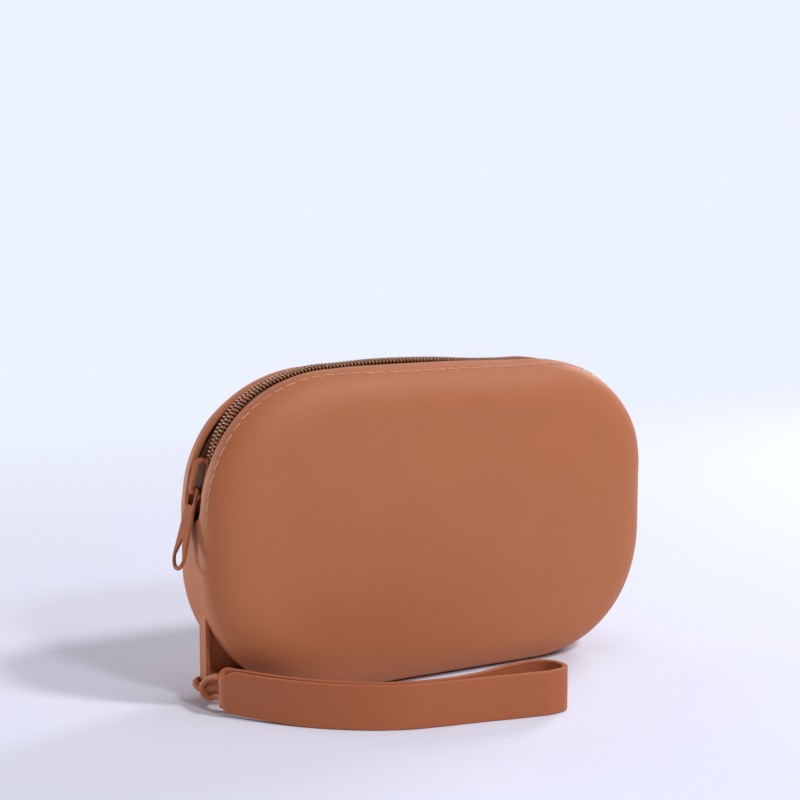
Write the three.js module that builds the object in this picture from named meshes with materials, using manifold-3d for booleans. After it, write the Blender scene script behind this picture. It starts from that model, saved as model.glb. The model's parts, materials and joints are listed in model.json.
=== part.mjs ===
// A small moulded silicone pouch with a zip round its upper edge and a wrist strap.
// Millimetres, +Z up. X runs along the pouch's width, and the front face looks along -Y.
// The origin is on the ground, under the middle of the pouch.
import * as THREE from 'three';
import { mergeVertices } from 'three/addons/utils/BufferGeometryUtils.js';
import Module from 'manifold-3d';

const wasm = await Module();
wasm.setup();

// Pouch body
const WIDTH = 166;
const HEIGHT = 105;
const THICKNESS = 36;
const CORNER_R = 44;
const WALL = 2;
const EDGE_DEPTH = 11; // how far the soft edge reaches back from each face
const EDGE_INSET = 12; // how far each flat face stands inside the outline
const ARC_SEGMENTS = 6;
const EDGE_SEGMENTS = 4;
const SMALL_ARC_SEGMENTS = 4;

// Slit for the zip
const SLIT_HALF = 6;
const SLIT_END_Z = 59;
const SLIT_END_SIDES = 24;

// Lug for the strap, a fin in the middle plane at the lower left corner
const LUG_X = -80.1;
const LUG_BOTTOM_Z = 2.5;
const LUG_THICK = 5;
const LUG_TIP_R = 2;
const LUG_POST = 4; // material left between the eye and the outer edge
const EYE_Z = 6.5;
const EYE_HALF_HEIGHT = 1.75;
const EYE_LENGTH = 4.7;

// The zip's line, which is set in from the outline at its ends and rises out of the slit on the left
const ZIP_IN = 2.4;
const ZIP_LIFT_LEFT = 1.5;
const ZIP_LIFT_RIGHT = -0.3;

// Zip tape, coil and sewing
const TAPE_OUT = 2.4; // depth below the pouch's outline, and below the zip's line beside the coil
const TAPE_IN = 3;
const TAPE_FOLD = 5.2; // distance from the middle plane at which the tape folds from wall to coil
const TAPE_FOLD_THICK = 0.6;
const TAPE_EDGE = 1.4; // distance of the tape's inner edge from the middle plane
const TAPE_REACH = 14.5;
const TAPE_END_Z = 55;
const COIL_TOP = 0.3;
const COIL_BOTTOM = 2.1;
const COIL_INNER = 1.3;
const COIL_OUTER = 3.3;
const COIL_ROOT_BOTTOM = 1.1;
const COIL_ROOT = 1.1; // width of the loops' turned root along Y
const COIL_PITCH = 2.8;
const LOOP_WIDE = 1.6;
const LOOP_SINK = 0.1; // the loop heads lie this much below their roots
const LOOP_JOIN = 0.2;
const CORE_TOP = 1.4;
const CORE_WIDE = 0.7;
const SEAM_Y = 11.5;
const SEAM_DEPTH = 0.55;
const SEAM_END_Z = 58.5;
const THREAD_WIDE = 0.5;
const THREAD_THICK = 0.32;
const BOBBIN_DEPTH = 5.1;

// Distances along the zip's line, from the start of its left arc
const COIL_START = 5.2;
const STOP_LENGTH = 2.4;
const STOP_GAP = 0.3;
const COIL_END_BACK = 4; // the coil ends this far before the right arc does
const STOP_WIDE = 2.2;

// Slider and its pull
const SLIDER_ANGLE = 13.3; // degrees up the left arc
const SLIDER_LENGTH = 12;
const SLIDER_NOSE_HALF = 4.4;
const SLIDER_TAIL_HALF = 3.9;
const SLIDER_NOSE_ROUND = 1.6;
const SLIDER_TAIL_ROUND = 1;
const PLATE_THICK = 0.85;
const PLATE_LIFT = -0.1; // above the zip's line
const FLANGE_THICK = 0.5;
const FLANGE_DEPTH = 1.7;
const COIL_CLEAR = 0.2;
const BASE_DEPTH = 3.8;
const BASE_THICK = 1;
const BASE_TRIM = 0.6; // the plate under the tape is this much smaller all round
const POST_HALF = 0.9;
const POST_LENGTH = 3.6;
const POST_SETBACK = 1.2;
const BAIL_HALF = 1.3;
const BAIL_LENGTH = 11.6;
const BAIL_RISE = 2.8;
const BAIL_THICK = 0.8;
const BAIL_BEND = 1.4;
const PIVOT_S = -3.85; // along the slider, from its middle
const PIVOT_RISE = 1.1; // above the top plate
const PULL_LEAN = 12.5; // degrees out from the vertical
const PULL_LENGTH = 26;
const PULL_THICK = 0.9;
const PULL_TOP_HALF = 3.4;
const PULL_CHAMFER = 0.6;
const PULL_END_HALF = 4.6;
const PULL_BAR = 0.6; // half height of the bar that turns in the bail
const PULL_EYE_HALF = 1.6;
const PULL_EYE_END = 5;
const PULL_NECK = 6.5; // where the sides begin to spread
const GRIP_TOP = 16.2;
const GRIP_TOP_HALF = 1.2;
const GRIP_END_HALF = 3.3;
const GRIP_END_RIM = 1.3;

// Wrist strap, a band on its edge that is folded into a long loop
const BAND_HEIGHT = 14;
const BAND_THICK = 2;
const BAND_STEPS = 84;
const HITCH_R = 4.7;
const HITCH_CORD = 1.4;
const RING_SIDES = 8;
const RING_STEPS = 24;
const NECK_R = 1.7;
const BAND_ROUTE = [
  [-79.6, -13.6], [-76, -19.8], [-70.8, -27.2], [-63.3, -36], [-50.6, -46.8], [-37.2, -54],
  [-26.2, -56.8], [-13.4, -59.2], [2.3, -62.4], [11, -63.4], [15.6, -61.6], [16.6, -57.6],
  [14.6, -53.6], [9.6, -51.6], [3.6, -51.8], [-4, -53.1], [-13, -54.8], [-25.7, -54.2], [-36.2, -51.5],
  [-49, -44.5], [-61, -33.2], [-68.2, -24], [-74.2, -14.6], [-77, -11],
];

const SILICONE = { color: 0xa9694a, roughness: 0.62, metalness: 0 };
const CLOTH = { color: 0x8a5233, roughness: 0.9, metalness: 0 };
const NYLON = { color: 0x7d4427, roughness: 0.4, metalness: 0 };
const THREAD = { color: 0xc98f6d, roughness: 0.8, metalness: 0 };
const PAINTED_METAL = { color: 0xa2654a, roughness: 0.45, metalness: 0.2 };

const ARC_LENGTH = CORNER_R * Math.PI / 2;
const CORNER_X = WIDTH / 2 - CORNER_R;
const CORNER_Z = HEIGHT - CORNER_R;
const EDGE_LINE = { x: CORNER_X, leftZ: CORNER_Z, rightZ: CORNER_Z };
const ZIP_LINE = {
  x: CORNER_X - ZIP_IN, leftZ: CORNER_Z + ZIP_LIFT_LEFT, rightZ: CORNER_Z + ZIP_LIFT_RIGHT,
};
const TOP_LENGTH = 2 * ZIP_LINE.x;
const TOP_TURN = Math.atan2(ZIP_LIFT_LEFT - ZIP_LIFT_RIGHT, TOP_LENGTH);

const pouch = new THREE.Group();

function addPart(name, geometry, finish, parent = pouch) {
  const mesh = new THREE.Mesh(geometry, new THREE.MeshStandardMaterial(finish));
  mesh.name = name;
  parent.add(mesh);
  return mesh;
}

function toSolid(geometry) {
  const bare = geometry.clone();
  bare.deleteAttribute('normal');
  bare.deleteAttribute('uv');
  const merged = mergeVertices(bare, 1e-4);
  return new wasm.Manifold(new wasm.Mesh({
    numProp: 3,
    vertProperties: new Float32Array(merged.attributes.position.array),
    triVerts: new Uint32Array(merged.index.array),
  }));
}

function toGeometry(solid) {
  const mesh = solid.getMesh();
  const geometry = new THREE.BufferGeometry();
  geometry.setAttribute('position', new THREE.BufferAttribute(mesh.vertProperties, 3));
  geometry.setIndex(new THREE.BufferAttribute(mesh.triVerts, 1));
  geometry.computeVertexNormals();
  return geometry;
}

function box(xMin, xMax, yMin, yMax, zMin, zMax) {
  const shape = new THREE.BoxGeometry(xMax - xMin, yMax - yMin, zMax - zMin);
  return shape.translate((xMin + xMax) / 2, (yMin + yMax) / 2, (zMin + zMax) / 2);
}

// A shape drawn in X and Z, given its depth from yMin to yMax
function extrudeAlongY(shape, yMin, yMax, options = {}) {
  const geometry = new THREE.ExtrudeGeometry(shape, {
    depth: yMax - yMin, bevelEnabled: false, curveSegments: ARC_SEGMENTS, ...options,
  });
  return geometry.rotateX(Math.PI / 2).translate(0, yMax, 0);
}

// The pouch's rounded outline, moved in by inset
function outline(inset) {
  const r = CORNER_R - inset;
  const quarter = Math.PI / 2;
  const shape = new THREE.Shape();
  shape.absarc(CORNER_X, CORNER_R, r, -quarter, 0, false);
  shape.absarc(CORNER_X, CORNER_Z, r, 0, quarter, false);
  shape.absarc(-CORNER_X, CORNER_Z, r, quarter, 2 * quarter, false);
  shape.absarc(-CORNER_X, CORNER_R, r, 2 * quarter, 3 * quarter, false);
  return shape;
}

// The filled pouch with its soft edges, every surface moved in by inset
function pouchSolid(inset) {
  const flat = THICKNESS / 2 - EDGE_DEPTH;
  return toSolid(extrudeAlongY(outline(EDGE_INSET), -flat, flat, {
    bevelEnabled: true,
    bevelSize: EDGE_INSET - inset,
    bevelThickness: EDGE_DEPTH - inset,
    bevelSegments: EDGE_SEGMENTS,
  }));
}

// A band along the upper edge's or the zip's line, between two depths below it. Each end is given as a
// distance from the outer end of its arc, and a negative one runs straight down past the arc.
function edgeBand(line, outer, inner, leftEnd, rightEnd) {
  const left = Math.PI - Math.max(leftEnd, 0) / CORNER_R;
  const right = Math.max(rightEnd, 0) / CORNER_R;
  const leftZ = line.leftZ + Math.min(leftEnd, 0);
  const rightZ = line.rightZ + Math.min(rightEnd, 0);
  const reach = line.x + CORNER_R;
  const middle = Math.PI / 2;
  const shape = new THREE.Shape();
  shape.absarc(-line.x, line.leftZ, CORNER_R - outer, left, middle, true);
  shape.absarc(line.x, line.rightZ, CORNER_R - outer, middle, right, true);
  if (rightEnd < 0) {
    shape.lineTo(reach - outer, rightZ);
    shape.lineTo(reach - inner, rightZ);
  }
  shape.absarc(line.x, line.rightZ, CORNER_R - inner, right, middle, false);
  shape.absarc(-line.x, line.leftZ, CORNER_R - inner, middle, left, false);
  if (leftEnd < 0) {
    shape.lineTo(inner - reach, leftZ);
    shape.lineTo(outer - reach, leftZ);
  }
  return shape;
}

// All that lies inside the zip's line at a depth below it, down to the tape's ends
function insideZip(depth, yMin, yMax) {
  const reach = ZIP_LINE.x + CORNER_R - depth;
  const shape = new THREE.Shape();
  shape.absarc(-ZIP_LINE.x, ZIP_LINE.leftZ, CORNER_R - depth, Math.PI, Math.PI / 2, true);
  shape.absarc(ZIP_LINE.x, ZIP_LINE.rightZ, CORNER_R - depth, Math.PI / 2, 0, true);
  shape.lineTo(reach, TAPE_END_Z);
  shape.lineTo(-reach, TAPE_END_Z);
  return toSolid(extrudeAlongY(shape, yMin, yMax));
}

// Where a piece stands on the zip's line: the turn about Y, and the point on the line
function onZip(distance) {
  if (distance < ARC_LENGTH) {
    const turn = distance / CORNER_R;
    return {
      turn: turn - Math.PI / 2,
      x: -ZIP_LINE.x - CORNER_R * Math.cos(turn),
      z: ZIP_LINE.leftZ + CORNER_R * Math.sin(turn),
    };
  }
  if (distance < ARC_LENGTH + TOP_LENGTH) {
    const along = distance - ARC_LENGTH;
    const z = ZIP_LINE.leftZ + CORNER_R - along * Math.tan(TOP_TURN);
    return { turn: TOP_TURN, x: along - ZIP_LINE.x, z };
  }
  const turn = (distance - ARC_LENGTH - TOP_LENGTH) / CORNER_R;
  return {
    turn,
    x: ZIP_LINE.x + CORNER_R * Math.sin(turn),
    z: ZIP_LINE.rightZ + CORNER_R * Math.cos(turn),
  };
}

// A shape made at the origin with its X along the zip and its Z outward, set on the zip's line
function setOnZip(geometry, distance) {
  const place = onZip(distance);
  return geometry.rotateY(place.turn).translate(place.x, 0, place.z);
}

// Mirrors a span of Y to the front or back row: side is -1 for the front
function rowSpan(side, near, far) {
  return side < 0 ? [-far, -near] : [near, far];
}

function makeBody() {
  const slitFlat = SLIT_END_Z + SLIT_HALF;
  const slit = toSolid(box(-WIDTH, WIDTH, -SLIT_HALF, SLIT_HALF, slitFlat, 2 * HEIGHT));
  const roundEnd = new THREE.CylinderGeometry(SLIT_HALF, SLIT_HALF, 2 * WIDTH, SLIT_END_SIDES);
  const slitEnd = toSolid(roundEnd.rotateZ(Math.PI / 2).translate(0, 0, slitFlat));
  const shell = pouchSolid(0).subtract(pouchSolid(WALL));
  return toGeometry(shell.subtract(slit.add(slitEnd)).add(makeLug()));
}

function makeLug() {
  const fin = new THREE.Shape();
  const tip = LUG_X + LUG_TIP_R;
  fin.absarc(tip, LUG_BOTTOM_Z + LUG_TIP_R, LUG_TIP_R, Math.PI, Math.PI * 1.5, false);
  fin.lineTo(-CORNER_X, LUG_BOTTOM_Z);
  fin.lineTo(-CORNER_X, CORNER_R);
  fin.lineTo(LUG_X, CORNER_R);
  const eyeLeft = LUG_X + LUG_POST + EYE_HALF_HEIGHT;
  const eyeRight = LUG_X + LUG_POST + EYE_LENGTH - EYE_HALF_HEIGHT;
  const eye = new THREE.Path();
  eye.absarc(eyeLeft, EYE_Z, EYE_HALF_HEIGHT, Math.PI / 2, Math.PI * 1.5, false);
  eye.absarc(eyeRight, EYE_Z, EYE_HALF_HEIGHT, -Math.PI / 2, Math.PI / 2, false);
  fin.holes.push(eye);
  const sheet = toSolid(extrudeAlongY(fin, -LUG_THICK / 2, LUG_THICK / 2));
  return sheet.subtract(pouchSolid(WALL / 2));
}

// One tape: a strip under the coil, a strip under the wall, and the fold that joins them
function makeTape(side) {
  const strip = (near, far) => {
    const [yMin, yMax] = rowSpan(side, near, far);
    return toSolid(box(-WIDTH, WIDTH, yMin, yMax, TAPE_END_Z, 2 * HEIGHT));
  };
  const [yMin, yMax] = rowSpan(side, TAPE_EDGE, TAPE_FOLD);
  const zipOut = insideZip(TAPE_OUT, yMin, yMax);
  const zipIn = insideZip(TAPE_IN, yMin, yMax);
  const wallOut = pouchSolid(TAPE_OUT);
  const wallIn = pouchSolid(TAPE_IN);
  const foldStart = TAPE_FOLD - TAPE_FOLD_THICK;
  const fold = zipOut.add(wallOut).subtract(zipIn.intersect(wallIn)).intersect(strip(foldStart, TAPE_FOLD));
  const sewn = wallOut.subtract(wallIn).intersect(strip(TAPE_FOLD - TAPE_FOLD_THICK / 2, TAPE_REACH));
  return toGeometry(wasm.Manifold.union([zipOut.subtract(zipIn), fold, sewn]));
}

// One row of the coil: the loops' roots as a band, and a loop head at every pitch
function makeCoil(side) {
  const end = 2 * ARC_LENGTH + TOP_LENGTH - COIL_END_BACK;
  const [rootMin, rootMax] = rowSpan(side, COIL_OUTER - COIL_ROOT, COIL_OUTER);
  const [headMin, headMax] = rowSpan(side, COIL_INNER, COIL_OUTER - COIL_ROOT + LOOP_JOIN);
  const roots = edgeBand(ZIP_LINE, COIL_TOP, COIL_ROOT_BOTTOM, COIL_START, COIL_END_BACK);
  const root = toSolid(extrudeAlongY(roots, rootMin, rootMax));
  const heads = [];
  const start = COIL_START + (side < 0 ? COIL_PITCH / 2 : COIL_PITCH);
  for (let distance = start; distance < end - LOOP_WIDE; distance += COIL_PITCH) {
    const half = LOOP_WIDE / 2;
    const head = box(-half, half, headMin, headMax, -COIL_BOTTOM, -COIL_TOP - LOOP_SINK);
    heads.push(toSolid(setOnZip(head, distance)));
  }
  return toGeometry(wasm.Manifold.union([root, ...heads]));
}

function makeCore(side) {
  const [yMin, yMax] = rowSpan(side, COIL_OUTER - CORE_WIDE, COIL_OUTER);
  const cord = edgeBand(ZIP_LINE, CORE_TOP, COIL_BOTTOM, COIL_START, COIL_END_BACK);
  return extrudeAlongY(cord, yMin, yMax);
}

function makeThread(side, depth) {
  const [yMin, yMax] = rowSpan(side, SEAM_Y - THREAD_WIDE / 2, SEAM_Y + THREAD_WIDE / 2);
  const past = SEAM_END_Z - CORNER_Z;
  return extrudeAlongY(edgeBand(EDGE_LINE, depth, depth + THREAD_THICK, past, past), yMin, yMax);
}

function makeStop(distance, yMin, yMax) {
  const block = box(0, STOP_LENGTH, yMin, yMax, -COIL_BOTTOM, -COIL_TOP);
  return setOnZip(block, distance);
}

// A slider plate seen from above, wide at the nose and narrow at the tail
function plateShape(trim) {
  const half = SLIDER_LENGTH / 2 - trim;
  const nose = SLIDER_NOSE_HALF - trim;
  const tail = SLIDER_TAIL_HALF - trim;
  const shape = new THREE.Shape();
  shape.moveTo(-half, -nose + SLIDER_NOSE_ROUND);
  shape.quadraticCurveTo(-half, -nose, -half + SLIDER_NOSE_ROUND, -nose);
  shape.lineTo(half - SLIDER_TAIL_ROUND, -tail);
  shape.quadraticCurveTo(half, -tail, half, -tail + SLIDER_TAIL_ROUND);
  shape.lineTo(half, tail - SLIDER_TAIL_ROUND);
  shape.quadraticCurveTo(half, tail, half - SLIDER_TAIL_ROUND, tail);
  shape.lineTo(-half + SLIDER_NOSE_ROUND, nose);
  shape.quadraticCurveTo(-half, nose, -half, nose - SLIDER_NOSE_ROUND);
  return shape;
}

function plate(trim, zMin, zMax) {
  const geometry = new THREE.ExtrudeGeometry(plateShape(trim), {
    depth: zMax - zMin, bevelEnabled: false, curveSegments: SMALL_ARC_SEGMENTS,
  });
  return toSolid(geometry.translate(0, 0, zMin));
}

function makeBail(plateTop) {
  const arch = (trim) => {
    const half = BAIL_LENGTH / 2 - trim;
    const top = plateTop + BAIL_RISE - trim;
    const shape = new THREE.Shape();
    shape.moveTo(-half, plateTop - PLATE_THICK / 2);
    shape.lineTo(half, plateTop - PLATE_THICK / 2);
    shape.lineTo(half, top - BAIL_BEND);
    shape.quadraticCurveTo(half, top, half - BAIL_BEND, top);
    shape.lineTo(-half + BAIL_BEND, top);
    shape.quadraticCurveTo(-half, top, -half, top - BAIL_BEND);
    return shape;
  };
  const fine = { curveSegments: SMALL_ARC_SEGMENTS };
  const strip = toSolid(extrudeAlongY(arch(0), -BAIL_HALF, BAIL_HALF, fine));
  const window = toSolid(extrudeAlongY(arch(BAIL_THICK), -2 * BAIL_HALF, 2 * BAIL_HALF, fine));
  return strip.subtract(window);
}

// The slider round the coil, made with its X along the zip and Z = 0 on the zip's line
function makeSlider() {
  const plateTop = PLATE_LIFT + PLATE_THICK;
  const middle = PLATE_LIFT + PLATE_THICK / 2;
  const top = plate(0, PLATE_LIFT, plateTop);
  const core = plate(FLANGE_THICK, -SLIDER_LENGTH, SLIDER_LENGTH);
  const skirt = plate(0, -FLANGE_DEPTH, middle).subtract(core);
  const tunnelHalf = COIL_OUTER + COIL_CLEAR;
  const tunnel = toSolid(box(
    -SLIDER_LENGTH, SLIDER_LENGTH, -tunnelHalf, tunnelHalf, -SLIDER_LENGTH, PLATE_LIFT,
  ));
  const flanges = skirt.subtract(tunnel);
  const base = plate(BASE_TRIM, -BASE_DEPTH - BASE_THICK, -BASE_DEPTH);
  const nose = -SLIDER_LENGTH / 2 + POST_SETBACK;
  const post = toSolid(box(
    nose, nose + POST_LENGTH, -POST_HALF, POST_HALF, -BASE_DEPTH - BASE_THICK / 2, middle,
  ));
  return toGeometry(wasm.Manifold.union([top, flanges, base, post, makeBail(plateTop)]));
}

// The pull, made in X (width) and Y (length, downward from the bar's axis), then turned upright
function makePull() {
  const endY = -PULL_LENGTH + PULL_END_HALF;
  const shape = new THREE.Shape();
  shape.moveTo(-PULL_TOP_HALF + PULL_CHAMFER, PULL_BAR);
  shape.lineTo(-PULL_TOP_HALF, PULL_BAR - PULL_CHAMFER);
  shape.lineTo(-PULL_TOP_HALF, -PULL_NECK);
  shape.absarc(0, endY, PULL_END_HALF, Math.PI, Math.PI * 2, false);
  shape.lineTo(PULL_TOP_HALF, -PULL_NECK);
  shape.lineTo(PULL_TOP_HALF, PULL_BAR - PULL_CHAMFER);
  shape.lineTo(PULL_TOP_HALF - PULL_CHAMFER, PULL_BAR);
  const eye = new THREE.Path();
  eye.moveTo(-PULL_EYE_HALF, -PULL_BAR);
  eye.lineTo(PULL_EYE_HALF, -PULL_BAR);
  eye.lineTo(PULL_EYE_HALF, -PULL_EYE_END);
  eye.lineTo(-PULL_EYE_HALF, -PULL_EYE_END);
  const gripEnd = -PULL_LENGTH + GRIP_END_RIM + GRIP_END_HALF;
  const gripTop = -GRIP_TOP - GRIP_TOP_HALF;
  const grip = new THREE.Path();
  grip.absarc(0, gripEnd, GRIP_END_HALF, Math.PI, Math.PI * 2, false);
  grip.absarc(0, gripTop, GRIP_TOP_HALF, 0, Math.PI, false);
  shape.holes.push(eye, grip);
  const geometry = new THREE.ExtrudeGeometry(shape, {
    depth: PULL_THICK, bevelEnabled: false, curveSegments: SMALL_ARC_SEGMENTS,
  });
  return geometry.translate(0, 0, -PULL_THICK / 2).rotateX(Math.PI / 2).rotateZ(-Math.PI / 2);
}

// The strap: the folded band on its edge, the ring hitched through the lug, and the neck between
function makeStrap() {
  const route = new THREE.CatmullRomCurve3(
    BAND_ROUTE.map(([x, y]) => new THREE.Vector3(x, y, 0)), true, 'centripetal',
  );
  const middle = route.getSpacedPoints(BAND_STEPS).slice(0, BAND_STEPS);
  const offset = (distance) => middle.map((point, i) => {
    const along = route.getTangentAt(i / BAND_STEPS);
    return new THREE.Vector2(point.x + along.y * distance, point.y - along.x * distance);
  });
  const shape = new THREE.Shape(offset(BAND_THICK / 2));
  shape.holes.push(new THREE.Path(offset(-BAND_THICK / 2)));
  const band = toSolid(new THREE.ExtrudeGeometry(shape, { depth: BAND_HEIGHT, bevelEnabled: false }));
  const ringX = LUG_X + LUG_POST / 2;
  const torus = new THREE.TorusGeometry(HITCH_R, HITCH_CORD, RING_SIDES, RING_STEPS);
  const ring = toSolid(torus.translate(ringX, 0, EYE_Z));
  const [endX, endY] = BAND_ROUTE.at(-1);
  const neckStart = new THREE.Vector3(ringX, -HITCH_R, EYE_Z);
  const neckEnd = new THREE.Vector3(endX, endY, EYE_Z);
  const neckRoute = new THREE.LineCurve3(neckStart, neckEnd);
  const section = new THREE.Shape();
  section.absarc(0, 0, NECK_R, 0, Math.PI * 2, false);
  const neck = toSolid(new THREE.ExtrudeGeometry(section, {
    steps: 1, extrudePath: neckRoute, curveSegments: SMALL_ARC_SEGMENTS,
  }));
  return toGeometry(wasm.Manifold.union([band, ring, neck]));
}

addPart('pouch_body', makeBody(), SILICONE);

const topStopStart = COIL_START - STOP_GAP - STOP_LENGTH;
for (const [row, side] of [['front', -1], ['back', 1]]) {
  addPart(`${row}_zip_tape`, makeTape(side), CLOTH);
  addPart(`${row}_zip_coil`, makeCoil(side), NYLON);
  addPart(`${row}_coil_core_cord`, makeCore(side), CLOTH);
  addPart(`${row}_seam_thread`, makeThread(side, SEAM_DEPTH), THREAD);
  addPart(`${row}_bobbin_thread`, makeThread(side, BOBBIN_DEPTH), THREAD);
  const [stopMin, stopMax] = rowSpan(side, COIL_INNER, COIL_INNER + STOP_WIDE);
  addPart(`${row}_top_stop`, makeStop(topStopStart, stopMin, stopMax), PAINTED_METAL);
}
const bottomStopStart = 2 * ARC_LENGTH + TOP_LENGTH - COIL_END_BACK + STOP_GAP;
addPart('bottom_stop', makeStop(bottomStopStart, -COIL_OUTER, COIL_OUTER), PAINTED_METAL);

const slider = new THREE.Group();
const sliderPlace = onZip(THREE.MathUtils.degToRad(SLIDER_ANGLE) * CORNER_R);
slider.position.set(sliderPlace.x, 0, sliderPlace.z);
slider.rotation.y = sliderPlace.turn;
pouch.add(slider);
addPart('slider_body', makeSlider(), PAINTED_METAL, slider);

const pull = addPart('pull_tab', makePull(), PAINTED_METAL, slider);
pull.position.set(PIVOT_S, 0, PLATE_LIFT + PLATE_THICK + PIVOT_RISE);
pull.rotation.y = THREE.MathUtils.degToRad(PULL_LEAN) - sliderPlace.turn;

addPart('wrist_strap', makeStrap(), SILICONE);

export default pouch;
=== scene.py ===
"""Looks for a small silicone pouch with a coil zip, a hanging pull and a wrist strap."""

import json
import logging
import math
from dataclasses import dataclass, replace
from enum import Enum, IntEnum
from typing import Any, Sequence

import bmesh
import bpy
from bmesh.types import BMEdge, BMesh, BMVert
from bpy.types import ID, Material, Mesh, Node, NodeSocket, NodeTree, Object
from mathutils import Matrix, Vector

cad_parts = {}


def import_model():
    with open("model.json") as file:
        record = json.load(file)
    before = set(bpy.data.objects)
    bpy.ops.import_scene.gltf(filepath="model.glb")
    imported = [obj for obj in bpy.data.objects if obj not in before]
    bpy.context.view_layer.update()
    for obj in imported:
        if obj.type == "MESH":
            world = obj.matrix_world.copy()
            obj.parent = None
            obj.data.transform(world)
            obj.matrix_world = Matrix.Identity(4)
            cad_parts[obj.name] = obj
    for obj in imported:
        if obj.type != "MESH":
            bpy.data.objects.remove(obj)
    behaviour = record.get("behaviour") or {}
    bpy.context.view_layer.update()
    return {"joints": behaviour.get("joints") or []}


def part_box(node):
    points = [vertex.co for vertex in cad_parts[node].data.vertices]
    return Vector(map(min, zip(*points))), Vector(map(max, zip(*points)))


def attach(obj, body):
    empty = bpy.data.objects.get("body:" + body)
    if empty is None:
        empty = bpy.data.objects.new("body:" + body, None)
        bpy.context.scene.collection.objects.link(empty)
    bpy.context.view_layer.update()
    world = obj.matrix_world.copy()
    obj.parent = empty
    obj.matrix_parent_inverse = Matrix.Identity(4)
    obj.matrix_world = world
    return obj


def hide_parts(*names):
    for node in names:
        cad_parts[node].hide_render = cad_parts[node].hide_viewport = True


MM = 0.001
QUARTER = math.pi / 2
UP = Vector((0, 0, 1))
DEPTH_AXIS = Vector((0, 1, 0))
CORNER_RADIUS = 44 * MM
COIL_FALL = 1.8 * MM
UPRIGHT = Matrix.Rotation(QUARTER, 4, "X")
# Past this angle the edges of a soft sheet show and are rounded
SHEET_DEGREES = 60
# Points closer than this share of a step become one
WELD_SHARE = 0.01
CURVE_STEPS = 8
LOG = logging.getLogger("pouch")

Point = tuple[float, float]
Span = tuple[float, float]


def linear(hex_colour: str) -> tuple[float, float, float, float]:
    """Turns an sRGB hex colour to the linear values that shaders use.

    Args:
        hex_colour: a colour such as "#A9694A".

    Returns:
        Linear red, green and blue, with an alpha of 1.
    """
    parts = [int(hex_colour[i : i + 2], 16) / 255 for i in (1, 3, 5)]
    red, green, blue = (p / 12.92 if p <= 0.04045 else ((p + 0.055) / 1.055) ** 2.4 for p in parts)
    return red, green, blue, 1.0


def per_metre(size_mm: float) -> float:
    """Gives the texture scale at which one pattern cell has this size in millimetres."""
    return 1 / (size_mm * MM)


def wire(tree: NodeTree, node: Node, sockets: dict[str | int, Any]) -> None:
    """Gives a node's inputs their values and links.

    Args:
        tree: the node tree that holds the node.
        node: the node.
        sockets: for each input, by name or number, a value or an output to link from.
    """
    for key, value in sockets.items():
        if isinstance(value, NodeSocket):
            tree.links.new(value, node.inputs[key])
        else:
            node.inputs[key].default_value = value


def add_node(tree: NodeTree, kind: str, sockets: dict[str | int, Any], **settings: Any) -> Node:
    """Adds a node with its settings, values and links.

    Args:
        tree: the node tree that gets the node.
        kind: the node's type name.
        sockets: for each input, by name or number, a value or an output to link from.
        settings: the node's own properties.

    Returns:
        The new node.
    """
    node = tree.nodes.new(kind)
    for name, value in settings.items():
        setattr(node, name, value)
    wire(tree, node, sockets)
    return node


def add_object(name: str, data: ID) -> Object:
    """Puts an object in the scene.

    Args:
        name: the object's name.
        data: its mesh, curve, lamp or camera.

    Returns:
        The new object.
    """
    thing = bpy.data.objects.new(name, data)
    bpy.context.scene.collection.objects.link(thing)
    return thing


def ease(low: float, high: float, value: float) -> float:
    """Rises smoothly from 0 to 1 as a value goes from low to high."""
    share = min(max((value - low) / (high - low), 0), 1)
    return share * share * (3 - 2 * share)


def steepness(stations: Sequence[Point], number: int) -> float:
    """Gives how steep a soft line is at one of its stations.

    Args:
        stations: places and values in order.
        number: which station it is.

    Returns:
        The slope there; the line is level at both ends.
    """
    if number in (0, len(stations) - 1):
        return 0.0
    (start, low), (end, high) = stations[number - 1], stations[number + 1]
    return (high - low) / (end - start)


def follow(stations: Sequence[Point], place: float) -> float:
    """Follows a soft line through a few stations.

    Args:
        stations: places and values in order, in millimetres.
        place: the place to read, in metres.

    Returns:
        The value there, in metres; before the first and after the last station it stays level.
    """
    spot = place / MM
    for number, ((start, low), (end, high)) in enumerate(zip(stations, stations[1:])):
        if spot < end:
            share = max(spot - start, 0) / (end - start)
            level = low + (high - low) * ease(start, end, spot)
            lead = steepness(stations, number) * share * (1 - share) ** 2
            trail = steepness(stations, number + 1) * share**2 * (1 - share)
            return MM * (level + (end - start) * (lead - trail))
    return MM * stations[-1][1]


class Row(Enum):
    """The two halves of the zip, by the side of the slit that they are sewn to."""

    FRONT = -1
    BACK = 1

    @property
    def label(self) -> str:
        """The word for this row in the names of pieces."""
        return self.name.lower()


class Body(Enum):
    """The bodies of the frame that pieces ride on."""

    POUCH = "pouch"
    SLIDER = "slider"
    PULL = "pull"
    STRAP = "strap"


class MixInput(IntEnum):
    """The colour inputs of a mix node, which share their names with its number inputs."""

    FIRST = 6
    SECOND = 7


MIX_COLOUR_OUT = 2
# The length of one cycle of a wave texture at a scale of 1
WAVE_CYCLE = math.pi / 10
# The attribute that marks painted shade: the bail's shadow on the slider's floor under it
PAINTED_SHADE_ATTRIBUTE = "painted_shade"

Shine = tuple[tuple[str, Any], ...]


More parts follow.
